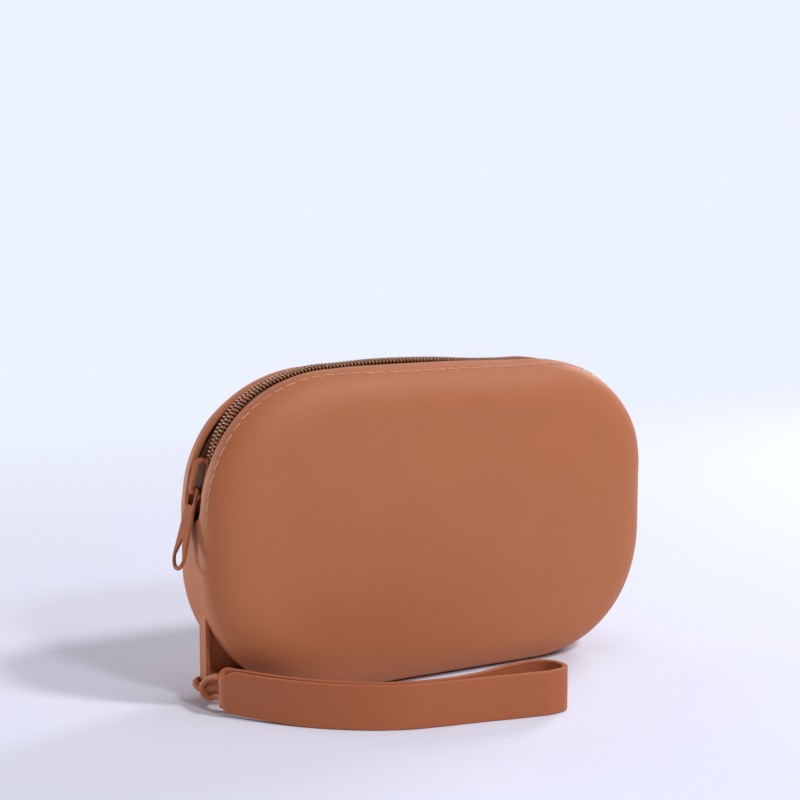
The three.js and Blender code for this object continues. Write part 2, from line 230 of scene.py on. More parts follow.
@dataclass(frozen=True)
class Texture:
    """A pattern whose cells have a real size: a noise, or bands that run one way."""

    cell_mm: float
    detail: float
    roughness: float = 0.5
    distortion: float = 0.0
    bands: str = ""

    def add(self, tree: NodeTree, place: NodeSocket) -> NodeSocket:
        """Adds the pattern to a material.

        Args:
            tree: the material's node tree.
            place: the coordinates that it is drawn on.

        Returns:
            The pattern, from 0 to 1.
        """
        inputs = {"Vector": place, "Detail": self.detail, "Distortion": self.distortion}
        scale = per_metre(self.cell_mm)
        if self.bands:
            inputs["Scale"] = scale * WAVE_CYCLE
            waves = {"wave_type": "BANDS", "bands_direction": self.bands}
            return add_node(tree, "ShaderNodeTexWave", inputs, **waves).outputs["Fac"]
        inputs |= {"Scale": scale, "Roughness": self.roughness}
        return add_node(tree, "ShaderNodeTexNoise", inputs).outputs["Fac"]


@dataclass(frozen=True)
class Finish:
    """A material: its name, its place among the record's slots, its pattern and what that changes."""

    name: str
    slot: str
    low_colour: str
    high_colour: str
    tone: Texture
    roughness: Span
    shine: Shine
    relief: Texture | None = None
    relief_mm: float = 0.0
    relief_strength: float = 0.0
    gloss_from_relief: bool = False

    def material(self) -> Material:
        """Makes the node material.

        Returns:
            The material, whose pattern is colour, gloss and relief on a principled shader.
        """
        material = bpy.data.materials.new(self.name)
        material.use_nodes = True
        tree = material.node_tree
        tone, relief = self.pattern(tree)
        ends = {MixInput.FIRST: linear(self.low_colour), MixInput.SECOND: linear(self.high_colour)}
        colour = add_node(tree, "ShaderNodeMix", {"Factor": tone, **ends}, data_type="RGBA")
        gloss = relief if self.gloss_from_relief else tone
        matt = {"Value": gloss, "To Min": self.roughness[0], "To Max": self.roughness[1]}
        inputs = {
            "Base Color": self.with_painted_shade(tree, colour.outputs[MIX_COLOUR_OUT]),
            "Roughness": add_node(tree, "ShaderNodeMapRange", matt).outputs["Result"],
            **dict(self.shine),
        }
        if self.relief_mm > 0:
            raised = {"Height": relief, "Distance": self.relief_mm * MM, "Strength": self.relief_strength}
            inputs["Normal"] = add_node(tree, "ShaderNodeBump", raised).outputs["Normal"]
        wire(tree, tree.nodes["Principled BSDF"], inputs)
        return material

    def pattern(self, tree: NodeTree) -> tuple[NodeSocket, NodeSocket]:
        """Draws the finish's pattern.

        Args:
            tree: the material's node tree.

        Returns:
            The pattern for the colour, and the one for the relief, which may be the same.
        """
        place = add_node(tree, "ShaderNodeTexCoord", {}).outputs["Object"]
        tone = self.tone.add(tree, place)
        return tone, self.relief.add(tree, place) if self.relief else tone

    def with_painted_shade(self, tree: NodeTree, colour: NodeSocket) -> NodeSocket:
        """Gives the colour that shows; a finish can paint shade over its pattern in places."""
        return colour


@dataclass(frozen=True)
class MouldedSilicone(Finish):
    """Silicone rubber from a blasted mould: faint clouds, soft light edges and a powdery grain."""

    low_colour: str = "#B26C48"
    high_colour: str = "#A96542"
    tone: Texture = Texture(26.0, 4.0, roughness=0.6)
    roughness: Span = (0.52, 0.64)
    shine: Shine = (
        ("IOR", 1.41),
        ("Sheen Weight", 0.13),
        ("Sheen Roughness", 0.45),
        ("Sheen Tint", linear("#FFE3D2")),
    )
    # The real grain is about 0.1 mm and is drawn coarser, so that it shows in the render
    relief: Texture = Texture(0.55, 2.0)
    relief_mm: float = 0.05
    relief_strength: float = 0.35
    gloss_from_relief: bool = True


@dataclass(frozen=True)
class WovenTape(Finish):
    """Polyester zip tape in a plain weave: rows of small rounded threads with dark gaps."""

    # Partly the tape's own brown, partly painted shade: the colours are drawn darker for the tape that lies
    # in the shaded gap under the lips
    low_colour: str = "#552A16"
    high_colour: str = "#8E5132"
    # The real threads are about 0.35 mm apart and are drawn coarser, so that they show
    tone: Texture = Texture(0.6, 1.0, distortion=0.6, bands="X")
    roughness: Span = (0.88, 0.88)
    shine: Shine = (("Sheen Weight", 0.08),)
    relief_mm: float = 0.1
    relief_strength: float = 0.8

    def pattern(self, tree: NodeTree) -> tuple[NodeSocket, NodeSocket]:
        """Crosses two sets of threads, along and across the tape.

        Args:
            tree: the material's node tree.

        Returns:
            The weave, for the colour and for the relief.
        """
        place = add_node(tree, "ShaderNodeUVMap", {}, uv_map="weave").outputs["UV"]
        across = replace(self.tone, bands="Y")
        threads = {0: self.tone.add(tree, place), 1: across.add(tree, place)}
        weave = add_node(tree, "ShaderNodeMath", threads, operation="MULTIPLY").outputs["Value"]
        return weave, weave


@dataclass(frozen=True)
class DrawnNylon(Finish):
    """Nylon monofilament wound to a coil: smooth and half glossy, with faint streaks of dye."""

    low_colour: str = "#74402A"
    high_colour: str = "#C78C66"
    tone: Texture = Texture(1.4, 2.0)
    roughness: Span = (0.3, 0.44)
    shine: Shine = (("IOR", 1.53),)


@dataclass(frozen=True)
class TwistedThread(Finish):
    """Polyester sewing thread: slanting plies with a dull shine and dark lines between them."""

    low_colour: str = "#C69274"
    high_colour: str = "#E4B69C"
    # Plies are about 0.25 mm apart and are drawn coarser, so that they show
    tone: Texture = Texture(0.5, 1.0, distortion=0.5, bands="DIAGONAL")
    roughness: Span = (0.7, 0.7)
    shine: Shine = (("Sheen Weight", 0.2),)
    relief_mm: float = 0.06
    relief_strength: float = 0.7


@dataclass(frozen=True)
class PaintedZinc(Finish):
    """Die-cast zinc under satin paint: even and smooth, with handling marks and a faint ripple."""

    low_colour: str = "#A96643"
    high_colour: str = "#9B5B3C"
    tone: Texture = Texture(3.0, 3.0, roughness=0.6)
    roughness: Span = (0.58, 0.72)
    shine: Shine = (("Specular IOR Level", 0.08), ("IOR", 1.5))
    relief: Texture = Texture(0.9, 1.0)
    relief_mm: float = 0.03
    relief_strength: float = 0.3
    # Painted shade: a dark brown that stands for the bail's shadow on the floor under it
    painted_shade_colour: str = "#4C1E0E"

    def with_painted_shade(self, tree: NodeTree, colour: NodeSocket) -> NodeSocket:
        """Gives the paint's colour, with painted shade on the floor under the bail, where the bail casts its
        shadow.

        Args:
            tree: the material's node tree.
            colour: the paint's colour.

        Returns:
            The colour that shows.
        """
        painted_shade = add_node(tree, "ShaderNodeAttribute", {}, attribute_name=PAINTED_SHADE_ATTRIBUTE).outputs["Fac"]
        ends = {MixInput.FIRST: colour, MixInput.SECOND: linear(self.painted_shade_colour)}
        shaded_paint = add_node(tree, "ShaderNodeMix", {"Factor": painted_shade, **ends}, data_type="RGBA")
        return shaded_paint.outputs[MIX_COLOUR_OUT]


SILICONE = MouldedSilicone("matt_moulded_silicone", "silicone")
# The same silicone as the pouch, drawn darker and redder on the strap: painted shade on the low band
SHADED_STRAP_SILICONE = MouldedSilicone("matt_moulded_strap_silicone", "silicone", "#AB623F", "#A25B3A")
TAPE_CLOTH = WovenTape("woven_polyester_tape", "zip_tape")
CORE_CLOTH = TwistedThread("twisted_core_cord", "zip_tape", "#6A3B22", "#96593A")
COIL_NYLON = DrawnNylon("drawn_nylon_coil", "coil_nylon")
SEWING = TwistedThread("twisted_sewing_thread", "sewing_thread")
PAINT = PaintedZinc("satin_painted_zinc", "painted_zinc")


class Dresser:
    """Gives finished meshes their object, material and body, and keeps one material each."""

    def __init__(self) -> None:
        """Starts with no materials made."""
        self.materials: dict[str, Material] = {}

    def place(self, mesh: Mesh, finish: Finish, body: Body, nodes: Sequence[str]) -> Object:
        """Puts a mesh in the scene as a piece of the part.

        Args:
            mesh: the piece's mesh, whose name becomes the piece's name.
            finish: the piece's material.
            body: the body that it rides on.
            nodes: the CAD nodes that it stands for.

        Returns:
            The piece's object.
        """
        if finish.name not in self.materials:
            self.materials[finish.name] = finish.material()
        mesh.materials.clear()
        mesh.materials.append(self.materials[finish.name])
        piece = add_object(mesh.name, mesh)
        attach(piece, body.value)
        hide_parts(*nodes)
        LOG.info("%s: %d faces on %s", piece.name, len(mesh.polygons), body.value)
        return piece


def to_mesh(bm: BMesh, name: str, sharp_degrees: float = 35) -> Mesh:
    """Turns a bmesh to a smooth mesh with sharp edges past an angle.

    Args:
        bm: the bmesh, which is freed.
        name: the mesh's name.
        sharp_degrees: the angle past which an edge shows.

    Returns:
        The new mesh.
    """
    mesh = bpy.data.meshes.new(name)
    bm.to_mesh(mesh)
    bm.free()
    mesh.shade_smooth()
    mesh.set_sharp_from_angle(angle=math.radians(sharp_degrees))
    return mesh


def round_edges(piece: Object, width: float, degrees: float = 40, segments: int = 3) -> None:
    """Rounds a piece's sharp edges.

    Args:
        piece: the piece.
        width: the rounding's width.
        degrees: the angle past which an edge is rounded.
        segments: the rounding's steps.
    """
    bevel = piece.modifiers.new("rounded_edges", "BEVEL")
    bevel.width = width
    bevel.segments = segments
    bevel.limit_method = "ANGLE"
    bevel.angle_limit = math.radians(degrees)
    bevel.harden_normals = True


def thicken(piece: Object, thickness: float, offset: float) -> None:
    """Gives a sheet its thickness.

    Args:
        piece: the sheet.
        thickness: its thickness.
        offset: where that lies, from -1 for inside the sheet to 1 for outside.
    """
    wall = piece.modifiers.new("wall", "SOLIDIFY")
    wall.thickness = thickness
    wall.offset = offset
    wall.use_even_offset = True


def arc(centre: Point, radius: float, start: float, end: float, steps: int) -> list[Point]:
    """Gives the points of an arc between two angles in radians, both ends included."""
    angles = [start + (end - start) * i / steps for i in range(steps + 1)]
    return [(centre[0] + radius * math.cos(a), centre[1] + radius * math.sin(a)) for a in angles]


def cut_plate(outline: Sequence[Point], holes: Sequence[Sequence[Point]], low: float, high: float) -> BMesh:
    """Makes a flat plate with holes in X and Y, and gives it a thickness in Z.

    Args:
        outline: the plate's outline.
        holes: the outlines of its holes.
        low: the height of its lower face.
        high: the height of its upper face.

    Returns:
        The closed plate.
    """
    bm = bmesh.new()
    edges = []
    for loop in (outline, *holes):
        corners = [bm.verts.new((x, y, low)) for x, y in loop]
        edges += [bm.edges.new(pair) for pair in zip(corners, corners[1:] + corners[:1])]
    bmesh.ops.triangle_fill(bm, edges=edges, use_beauty=True)
    raised = bmesh.ops.extrude_face_region(bm, geom=bm.faces[:])["geom"]
    corners = [item for item in raised if isinstance(item, BMVert)]
    bmesh.ops.translate(bm, verts=corners, vec=UP * (high - low))
    bmesh.ops.recalc_face_normals(bm, faces=bm.faces[:])
    return bm


def rounded(corners: Sequence[tuple[float, float, float]], first: int, steps: int) -> list[Point]:
    """Gives an outline with round corners of a quarter turn each.

    Args:
        corners: the middle and the radius of each corner, in order round the outline.
        first: the number of quarter turns at which the first corner starts.
        steps: how many chords each corner has.

    Returns:
        The outline's points.
    """
    points = []
    for turn, (x, y, radius) in enumerate(corners, first):
        points += arc((x, y), radius, turn * QUARTER, (turn + 1) * QUARTER, steps)
    return points


def moved(bm: BMesh, matrix: Matrix) -> BMesh:
    """Moves a whole bmesh by a matrix, and gives it back."""
    bmesh.ops.transform(bm, matrix=matrix, verts=bm.verts[:])
    return bm


def join(parts: Sequence[BMesh]) -> BMesh:
    """Puts several bmeshes in one.

    Args:
        parts: the bmeshes, which are freed.

    Returns:
        One bmesh with all their faces.
    """
    whole = bmesh.new()
    for part in parts:
        carrier = bpy.data.meshes.new("carrier")
        part.to_mesh(carrier)
        part.free()
        whole.from_mesh(carrier)
        bpy.data.meshes.remove(carrier)
    return whole


def curve_mesh(
    name: str,
    lines: Sequence[Sequence[Vector]],
    radius: float,
    closed: bool = False,
    smooth: bool = False,
    sides: int = 1,
) -> Mesh:
    """Makes tubes along lines, or the bare lines where the radius is 0.

    Args:
        name: the mesh's name.
        lines: the points of each line.
        radius: the tube's radius.
        closed: whether each line runs back to its start.
        smooth: whether the line bends smoothly through its points.
        sides: how finely the tube is rounded.

    Returns:
        The mesh of all the tubes.
    """
    curve = bpy.data.curves.new(name, "CURVE")
    curve.dimensions = "3D"
    curve.bevel_depth = radius
    curve.bevel_resolution = sides
    curve.use_fill_caps = radius > 0 and not closed
    curve.resolution_u = CURVE_STEPS
    for line in lines:
        spline = curve.splines.new("BEZIER" if smooth else "POLY")
        points = spline.bezier_points if smooth else spline.points
        points.add(len(line) - 1)
        for point, place in zip(points, line):
            if smooth:
                point.co = place
                point.handle_left_type = "AUTO"
                point.handle_right_type = "AUTO"
            else:
                point.co = (*place, 1)
        spline.use_cyclic_u = closed
    holder = add_object(name, curve)
    graph = bpy.context.evaluated_depsgraph_get()
    mesh = bpy.data.meshes.new_from_object(holder.evaluated_get(graph))
    bpy.data.objects.remove(holder)
    bpy.data.curves.remove(curve)
    mesh.name = name
    mesh.shade_smooth()
    return mesh


@dataclass(frozen=True)
class Straight:
    """A straight stretch that a chain of edges is carried along."""

    way: Vector
    steps: int

    def carry(self, bm: BMesh, chain: list[BMEdge]) -> list[BMEdge]:
        """Extrudes the chain step by step.

        Args:
            bm: the bmesh that holds the chain.
            chain: the edges to carry.

        Returns:
            The chain at the stretch's end.
        """
        for _ in range(self.steps):
            grown = bmesh.ops.extrude_edge_only(bm, edges=chain)["geom"]
            corners = {item for item in grown if isinstance(item, BMVert)}
            bmesh.ops.translate(bm, verts=list(corners), vec=self.way / self.steps)
            edges = [item for item in grown if isinstance(item, BMEdge)]
            chain = [edge for edge in edges if corners.issuperset(edge.verts)]
        return chain


@dataclass(frozen=True)
class Corner:
    """A corner that a chain of edges is turned round, seen from the front."""

    centre: Vector
    angle: float
    steps: int

    def carry(self, bm: BMesh, chain: list[BMEdge]) -> list[BMEdge]:
        """Spins the chain about the corner's centre.

        Args:
            bm: the bmesh that holds the chain.
            chain: the edges to carry.

        Returns:
            The chain at the corner's end.
        """
        corners = list({vert for edge in chain for vert in edge.verts})
        geometry = [*corners, *chain]
        turn = {"cent": self.centre, "axis": DEPTH_AXIS, "angle": self.angle, "steps": self.steps}
        turned = bmesh.ops.spin(bm, geom=geometry, **turn)["geom_last"]
        return [item for item in turned if isinstance(item, BMEdge)]


def start_chain(bm: BMesh, points: Sequence[Vector]) -> list[BMEdge]:
    """Starts a chain of edges through a few points, and gives its edges."""
    corners = [bm.verts.new(point) for point in points]
    return [bm.edges.new(pair) for pair in zip(corners, corners[1:])]


# Distances along the zip and depths under the moulded edge, in millimetres
FRONT_LIP = (
    (18, 0), (34, -0.3), (54, -0.1), (68, -0.2), (79, -0.6), (112, -0.4), (128, 0.1), (142, 0.5), (156, 0.6),
    (167, 0), (180, -0.8), (191, -1.35), (200, -1.35), (209, -0.6), (216, 0),
)
BACK_LIP = (
    (0, 0), (6, 0.2), (12, -0.1), (20, -0.35), (30, -0.5), (40, -0.1), (58, 0.2), (70, 0.2), (84, 0.6),
    (112, 0.7), (128, 1.0), (141, 1.35), (152, 1.1), (162, 0.6), (178, -0.5), (200, -0.2), (212, 0),
)
SEAM_DRIFT = (
    (20, -1.1), (46, -0.9), (60, -0.3), (75, 0.5), (90, 1.1), (110, 1.2), (138, 0.6), (152, 0), (162, -1),
    (170, -2.4), (180, -3),
)
COIL_SWELL = (
    (16.5, 0), (26, 1.1), (36, 1.5), (46, 1), (56, 0.15), (62, 0), (70, 0), (76, 0.35), (84, 0.9), (94, 1.2),
    (110, 1.05), (126, 0.2), (140, 0),
)


@dataclass(frozen=True)
class ZipLine:
    """The line of the pouch's upper edge that lips and seams follow, or the coil's line within it.

    A distance along it counts from the start of the left upper corner. An inset is measured inward from
    the line.
    """

    corner_x: float
    corner_z: float
    radius: float
    half_depth: float
    fall: float = 0.0
    edge_depth: float = 11 * MM
    edge_inset: float = 16.5 * MM
    edge_power: float = 2.2
    lip_start: float = 3.5 * MM
    lip_end: float = 6 * MM

    @property
    def corner_length(self) -> float:
        """The length of one upper corner."""
        return self.radius * QUARTER

    @property
    def length(self) -> float:
        """The length of both upper corners and the top between them."""
        return 2 * (self.corner_length + self.corner_x)

    def point(self, distance: float, y: float, inset: float) -> Vector:
        """Gives the place of a point on or under the edge.

        Args:
            distance: how far along the line it is.
            y: its place from front to back.
            inset: how far inside the outer edge it is.

        Returns:
            The point.
        """
        reach = self.radius - inset - self.sag(distance, y)
        past_left = distance - self.corner_length
        past_top = past_left - 2 * self.corner_x
        if distance < 0:
            return Vector((-self.corner_x - reach, y, self.corner_z + distance))
        if past_left < 0:
            turn = distance / self.radius
            x = -self.corner_x - reach * math.cos(turn)
            return Vector((x, y, self.corner_z + reach * math.sin(turn)))
        if past_top < 0:
            fallen = self.fall * past_left / (2 * self.corner_x)
            return Vector((past_left - self.corner_x, y, self.corner_z + reach - fallen))
        turn = min(past_top / self.radius, QUARTER)
        over = max(past_top - self.corner_length, 0)
        x = self.corner_x + reach * math.sin(turn)
        return Vector((x, y, self.corner_z - self.fall + reach * math.cos(turn) - over))

    def sag(self, distance: float, y: float) -> float:
        """Gives how far the soft lips have sunk or swelled at a place beside the stiffer coil."""
        lip = BACK_LIP if y > 0 else FRONT_LIP
        return follow(lip, distance) * ease(self.lip_start, self.lip_end, abs(y))

    def distance(self, place: Vector) -> float:
        """Gives how far along the line a point of the upper half lies.

        Args:
            place: the point.

        Returns:
            Its distance along the line.
        """
        rise = place.z - self.corner_z
        if place.x < -self.corner_x:
            if rise < 0:
                return rise
            return math.atan2(rise, -self.corner_x - place.x) * self.radius
        if place.x <= self.corner_x:
            return self.corner_length + place.x + self.corner_x
        if rise < 0:
            return self.length - rise
        return self.length - math.atan2(rise, place.x - self.corner_x) * self.radius

    def frame(self, distance: float) -> Matrix:
        """Gives the turn and place of a piece that sits on the edge.

        Args:
            distance: how far along the line it is.

        Returns:
            A matrix whose X runs along the line and whose Z points outward.
        """
        here = self.point(distance, 0, 0)
        inner = self.point(distance, 0, self.radius / 2)
        out = (here - inner).normalized()
        along = DEPTH_AXIS.cross(out)
        turn = Matrix((along, DEPTH_AXIS, out)).transposed().to_4x4()
        return Matrix.Translation(here) @ turn

    def edge_drop(self, y: float) -> float:
        """Gives how far the rounded edge falls away.

        Args:
            y: the place from front to back.

        Returns:
            The drop there.
        """
        flat = self.half_depth - self.edge_depth
        share = max(abs(y) - flat, 0) / self.edge_depth
        left = max(1 - share**self.edge_power, 0)
        return self.edge_inset * (1 - left ** (1 / self.edge_power))

    def edge_slope(self, y: float) -> float:
        """Gives the steepness of the rounded edge, from front to back."""
        step = 0.05 * MM
        return (self.edge_drop(y + step) - self.edge_drop(y - step)) / (2 * step)

    def on_edge(self, distance: float, y: float, depth: float) -> Vector:
        """Gives a point at a depth square under the rounded edge.

        Args:
            distance: how far along the line it is.
            y: its place from front to back, on the surface.
            depth: how deep it lies; a depth below 0 stands proud.

        Returns:
            The point.
        """
        slope = self.edge_slope(y)
        square = math.hypot(1, slope)
        return self.point(distance, y - depth * slope / square, self.edge_drop(y) + depth / square)

    def sweep(self, before: float, after: float, fine: float) -> list[Straight | Corner]:
        """Gives the stretches of a run along the whole line.

        Args:
            before: how far below the left corner it starts.
            after: how far below the right corner it ends.
            fine: the length of one step.

        Returns:
            The stretches in order, left to right.
        """
        turn_steps = round(self.corner_length / fine)
        return [
            Straight(UP * before, max(round(before / fine), 1)),
            Corner(Vector((-self.corner_x, 0, self.corner_z)), QUARTER, turn_steps),
            Straight(Vector((2 * self.corner_x, 0, 0)), round(2 * self.corner_x / fine)),
            Corner(Vector((self.corner_x, 0, self.corner_z)), QUARTER, turn_steps),
            Straight(UP * -after, max(round(after / fine), 1)),
        ]


@dataclass(frozen=True)
class Seam:
    """The lock-stitched seam beside each lip."""

    line: ZipLine
    y: float = 11.5 * MM
    past_corner: float = 2.5 * MM
    pitch: float = 4.5 * MM
    stitch: float = 3.6 * MM
    thread: float = 0.14 * MM
    proud: float = 0.02 * MM
    slant: float = 0.15 * MM
    back_drift: float = 1.5 * MM
    dive: float = 0.5 * MM
    bend_share: float = 0.42
    flat_share: float = 0.25
    tape_side: float = 3.05 * MM

    @property
    def count(self) -> int:
        """The number of stitches in one row."""
        return round((self.line.length + 2 * self.past_corner) / self.pitch)

    def stitch_middle(self, number: int) -> float:
        """Gives where along the line a stitch has its middle."""
        return (number + 0.5) * self.step - self.past_corner

    @property
    def step(self) -> float:
        """The stitches' even spacing along the line."""
        return (self.line.length + 2 * self.past_corner) / self.count

    def y_at(self, distance: float, row: Row) -> float:
        """Gives how far a row's seam runs from the middle plane at a place along the line."""
        return self.y + (follow(SEAM_DRIFT, distance) if row is Row.FRONT else self.back_drift)

    def pull_at(self, distance: float) -> float:
        """Gives how hard the thread pulls the silicone in.

        Args:
            distance: the place along the line.

        Returns:
            1 at a needle hole, 0 under the middle of a stitch, and nothing past the seam's ends.
        """
        if not -self.past_corner < distance < self.line.length + self.past_corner:
            return 0.0
        phase = (distance + self.past_corner) / self.step
        return 0.5 + 0.5 * math.cos(2 * math.pi * phase)

    def build(self, dresser: Dresser, row: Row) -> None:
        """Makes the row's stitches, those on the silicone and those under the tape.

        Args:
            dresser: places the pieces.
            row: the half of the zip.
        """
        for kind, depth, outward in (("seam", 0, 1), ("bobbin", self.tape_side, -1)):
            lines = [self.stitch_line(row, number, depth, outward) for number in range(self.count)]
            mesh = curve_mesh(f"{row.label}_{kind}_stitches", lines, self.thread)
            dresser.place(mesh, SEWING, Body.POUCH, [f"{row.label}_{kind}_thread"])

    def stitch_line(self, row: Row, number: int, depth: float, outward: int) -> list[Vector]:
        """Gives the bent line of one stitch, whose ends dive into the material.

        Args:
            row: the half of the zip.
            number: which stitch it is.
            depth: how deep the surface lies that it runs on.
            outward: 1 for a stitch on the outer side, -1 for one on the inner side.

        Returns:
            The points of the line.
        """
        middle = self.stitch_middle(number)
        shape = [(-0.5, -self.dive), (-self.bend_share, 0), (-self.flat_share, self.proud), (0, self.proud)]
        shape += [(-share, lift) for share, lift in reversed(shape[:3])]
        points = []
        for share, lift in shape:
            along = middle + share * self.stitch
            y = row.value * (self.y_at(along, row) + self.slant * 2 * share)
            points.append(self.line.on_edge(along, y, depth - outward * lift))
        return points


@dataclass
class PouchShell:
    """The moulded pouch: one soft wall with a slit for the zip, and a lug for the strap."""

    line: ZipLine
    seam: Seam
    wall: float = 2 * MM
    slit_half: float = 6 * MM
    slit_end: float = 59 * MM
    slit_tip: float = 2.2 * MM
    lip_round: float = 0.75 * MM
    lip_steps: int = 4
    face_crown: float = 0.9 * MM
    corner_full: float = 1.0 * MM
    face_rings: int = 7
    face_ring: float = 3.7 * MM
    edge_steps: int = 15
    fine: float = 0.7 * MM
    coarse: float = 2.2 * MM
    sag_reach: float = 26 * MM
    seam_groove: float = 0.05 * MM
    seam_dent: float = 0.04 * MM
    seam_reach: float = 1.3 * MM
    groove_end: float = 2.0
    groove_fall: float = 2.0
    lip_wave: float = 0.02 * MM
    lug_x: float = -80.1 * MM
    lug_bottom: float = 2.5 * MM
    lug_half: float = 2.5 * MM
    lug_tip: float = 2 * MM
    lug_round: float = 0.55 * MM
    hollow_rim: float = 1.3 * MM
    hollow_low: float = 9.6 * MM
    hollow_root: float = 0.4 * MM
    hollow_grip: float = 0.3 * MM
    hollow_floor_back: float = -2 * MM
    hollow_floor_front: float = -0.5 * MM
    round_steps: int = 8
    hollow_steps: int = 16
    root_steps: int = 24
    eye_z: float = 6.5 * MM
    eye_half: float = 1.75 * MM
    eye_near: float = 4 * MM
    eye_length: float = 4.7 * MM

    def profile(self) -> list[Vector]:
        """Gives the edge's section from the front face to the back face, on the pouch's bottom.

        Returns:
            The section's points.
        """
        flat = self.line.half_depth - self.line.edge_depth
        power = 2 / self.line.edge_power
        front = []
        for i in range(self.edge_steps + 1):
            turn = QUARTER * i / self.edge_steps
            out = max(math.cos(turn), 0) ** power
            front.append((-flat - self.line.edge_depth * out, 1 - math.sin(turn) ** power))
        front.append((-self.slit_half, 0))
        whole = front + [(0, 0)] + [(-y, drop) for y, drop in reversed(front)]
        return [Vector((0, y, drop * self.line.edge_inset)) for y, drop in whole]

    def build(self, dresser: Dresser) -> None:
        """Makes the wall and the lug.

        Args:
            dresser: places the pieces.
        """
        bm = bmesh.new()
        self.sweep_edge(bm)
        self.close_faces(bm)
        self.fill_corner(bm)
        self.open_slit(bm)
        self.sew_in(bm)
        self.settle(bm)
        bmesh.ops.recalc_face_normals(bm, faces=bm.faces[:])
        shell = dresser.place(to_mesh(bm, "pouch_shell", SHEET_DEGREES), SILICONE, Body.POUCH, ["pouch_body"])
        thicken(shell, self.wall, -1)
        round_edges(shell, self.lip_round, SHEET_DEGREES, self.lip_steps)
        lug = dresser.place(to_mesh(self.lug(), "strap_lug"), SILICONE, Body.POUCH, ["pouch_body"])
        round_edges(lug, self.lug_round)

    def sweep_edge(self, bm: BMesh) -> None:
        """Carries the edge's section once round the pouch.

        Args:
            bm: the bmesh that gets the rounded edge.
        """
        x, top_z, radius = self.line.corner_x, self.line.corner_z, self.line.radius
        side = top_z - radius
        low_turns = round(self.line.corner_length / self.coarse)
        low_steps = round(x / self.coarse)
        chain = start_chain(bm, self.profile())
        stretches = [
            Straight(Vector((-x, 0, 0)), low_steps),
            Corner(Vector((-x, 0, radius)), QUARTER, low_turns),
            *self.line.sweep(side, side, self.fine),
            Corner(Vector((x, 0, radius)), QUARTER, low_turns),
            Straight(Vector((-x, 0, 0)), low_steps),
        ]
        for stretch in stretches:
            chain = stretch.carry(bm, chain)
        bmesh.ops.remove_doubles(bm, verts=bm.verts[:], dist=self.fine * WELD_SHARE)

    def close_faces(self, bm: BMesh) -> None:
        """Fills the front and back, with rings that swell gently to the middle.

        Args:
            bm: the bmesh with the rounded edge.
        """
        rims = [edge for edge in bm.edges if edge.is_boundary]
        faces = bmesh.ops.holes_fill(bm, edges=rims, sides=0)["faces"]
        for face in faces:
            side = math.copysign(1, face.calc_center_median().y)
            for ring in range(self.face_rings):
                bmesh.ops.inset_region(bm, faces=[face], thickness=self.face_ring, use_even_offset=True)
                share = (ring + 1) / self.face_rings
                swell = self.face_crown * 0.5 * (1 - math.cos(math.pi * share))
                for vert in face.verts:
                    vert.co.y = side * (self.line.half_depth + swell)

    def fill_corner(self, bm: BMesh) -> None:
        """Makes the right lower corner a little fuller than a quarter circle.

        Args:
            bm: the closed shell.
        """
        hub = Vector((self.line.corner_x, 0, self.line.radius))
        for vert in bm.verts:
            spoke = Vector((vert.co.x, 0, vert.co.z)) - hub
            if spoke.x > 0 > spoke.z:
                diagonal = math.sin(2 * math.atan2(-spoke.z, spoke.x)) ** 2
                vert.co += spoke * (self.corner_full / self.line.radius * diagonal)

    def open_slit(self, bm: BMesh) -> None:
        """Cuts the slit between the lips and rounds its two ends.

        Args:
            bm: the closed shell.
        """
        inside = self.slit_half + self.fine / 2
        edge = self.line.radius - self.fine / 2
        tolerance = self.fine / 10
        gone = []
        for face in bm.faces:
            middle = face.calc_center_median()
            if abs(middle.y) < self.slit_half and middle.z > self.slit_end:
                if max(abs(vert.co.y) for vert in face.verts) < inside:
                    gone.append(face)
        bmesh.ops.delete(bm, geom=gone, context="FACES")
        for vert in bm.verts:
            on_lip = abs(abs(vert.co.y) - self.slit_half) < tolerance
            reach = abs(vert.co.x) - self.line.corner_x
            if not on_lip or reach < edge - self.slit_half or vert.co.z < self.slit_end - self.fine:
                continue
            short = self.slit_end + self.slit_half - vert.co.z
            if short > 0:
                half = math.sqrt(max(self.slit_half**2 - short**2, self.slit_tip**2))
                vert.co.y = math.copysign(half, vert.co.y)

    def sew_in(self, bm: BMesh) -> None:
        """Draws the silicone in under the seam, most at the needle holes, and waves the lips.

        Args:
            bm: the shell with its slit.
        """
        bm.normal_update()
        moves = []
        for vert in bm.verts:
            if vert.co.z < self.line.corner_z - 2 * self.seam.past_corner:
                continue
            distance = self.line.distance(vert.co)
            row = Row.BACK if vert.co.y > 0 else Row.FRONT
            near = abs(abs(vert.co.y) - self.seam.y_at(distance, row)) / self.seam_reach
            pulled = self.seam.pull_at(distance)
            if near < self.groove_end and pulled > 0:
                fade = math.exp(-near * near * self.groove_fall)
                depth = (self.seam_groove + self.seam_dent * pulled) * fade
                inward = -1 if vert.normal.dot(vert.co - Vector((0, 0, self.line.corner_z))) > 0 else 1
                moves.append((vert, vert.normal * inward * depth))
            elif abs(abs(vert.co.y) - self.slit_half) < self.fine:
                moves.append((vert, Vector((0, math.copysign(self.lip_wave * pulled, vert.co.y), 0))))
        for vert, move in moves:
            vert.co += move

    def settle(self, bm: BMesh) -> None:
        """Lets the soft edge sink as the zip line's sag says, less and less towards the faces.

        Args:
            bm: the sewn shell.
        """
        for vert in bm.verts:
            if vert.co.z < self.line.corner_z:
                continue
            hub_x = min(max(vert.co.x, -self.line.corner_x), self.line.corner_x)
            spoke = Vector((vert.co.x - hub_x, 0, vert.co.z - self.line.corner_z))
            near = 1 - (self.line.radius - spoke.length) / self.sag_reach
            if near > 0 and spoke.length > 0:
                drop = self.line.sag(self.line.distance(vert.co), vert.co.y) * ease(0, 1, near)
                vert.co -= spoke.normalized() * drop

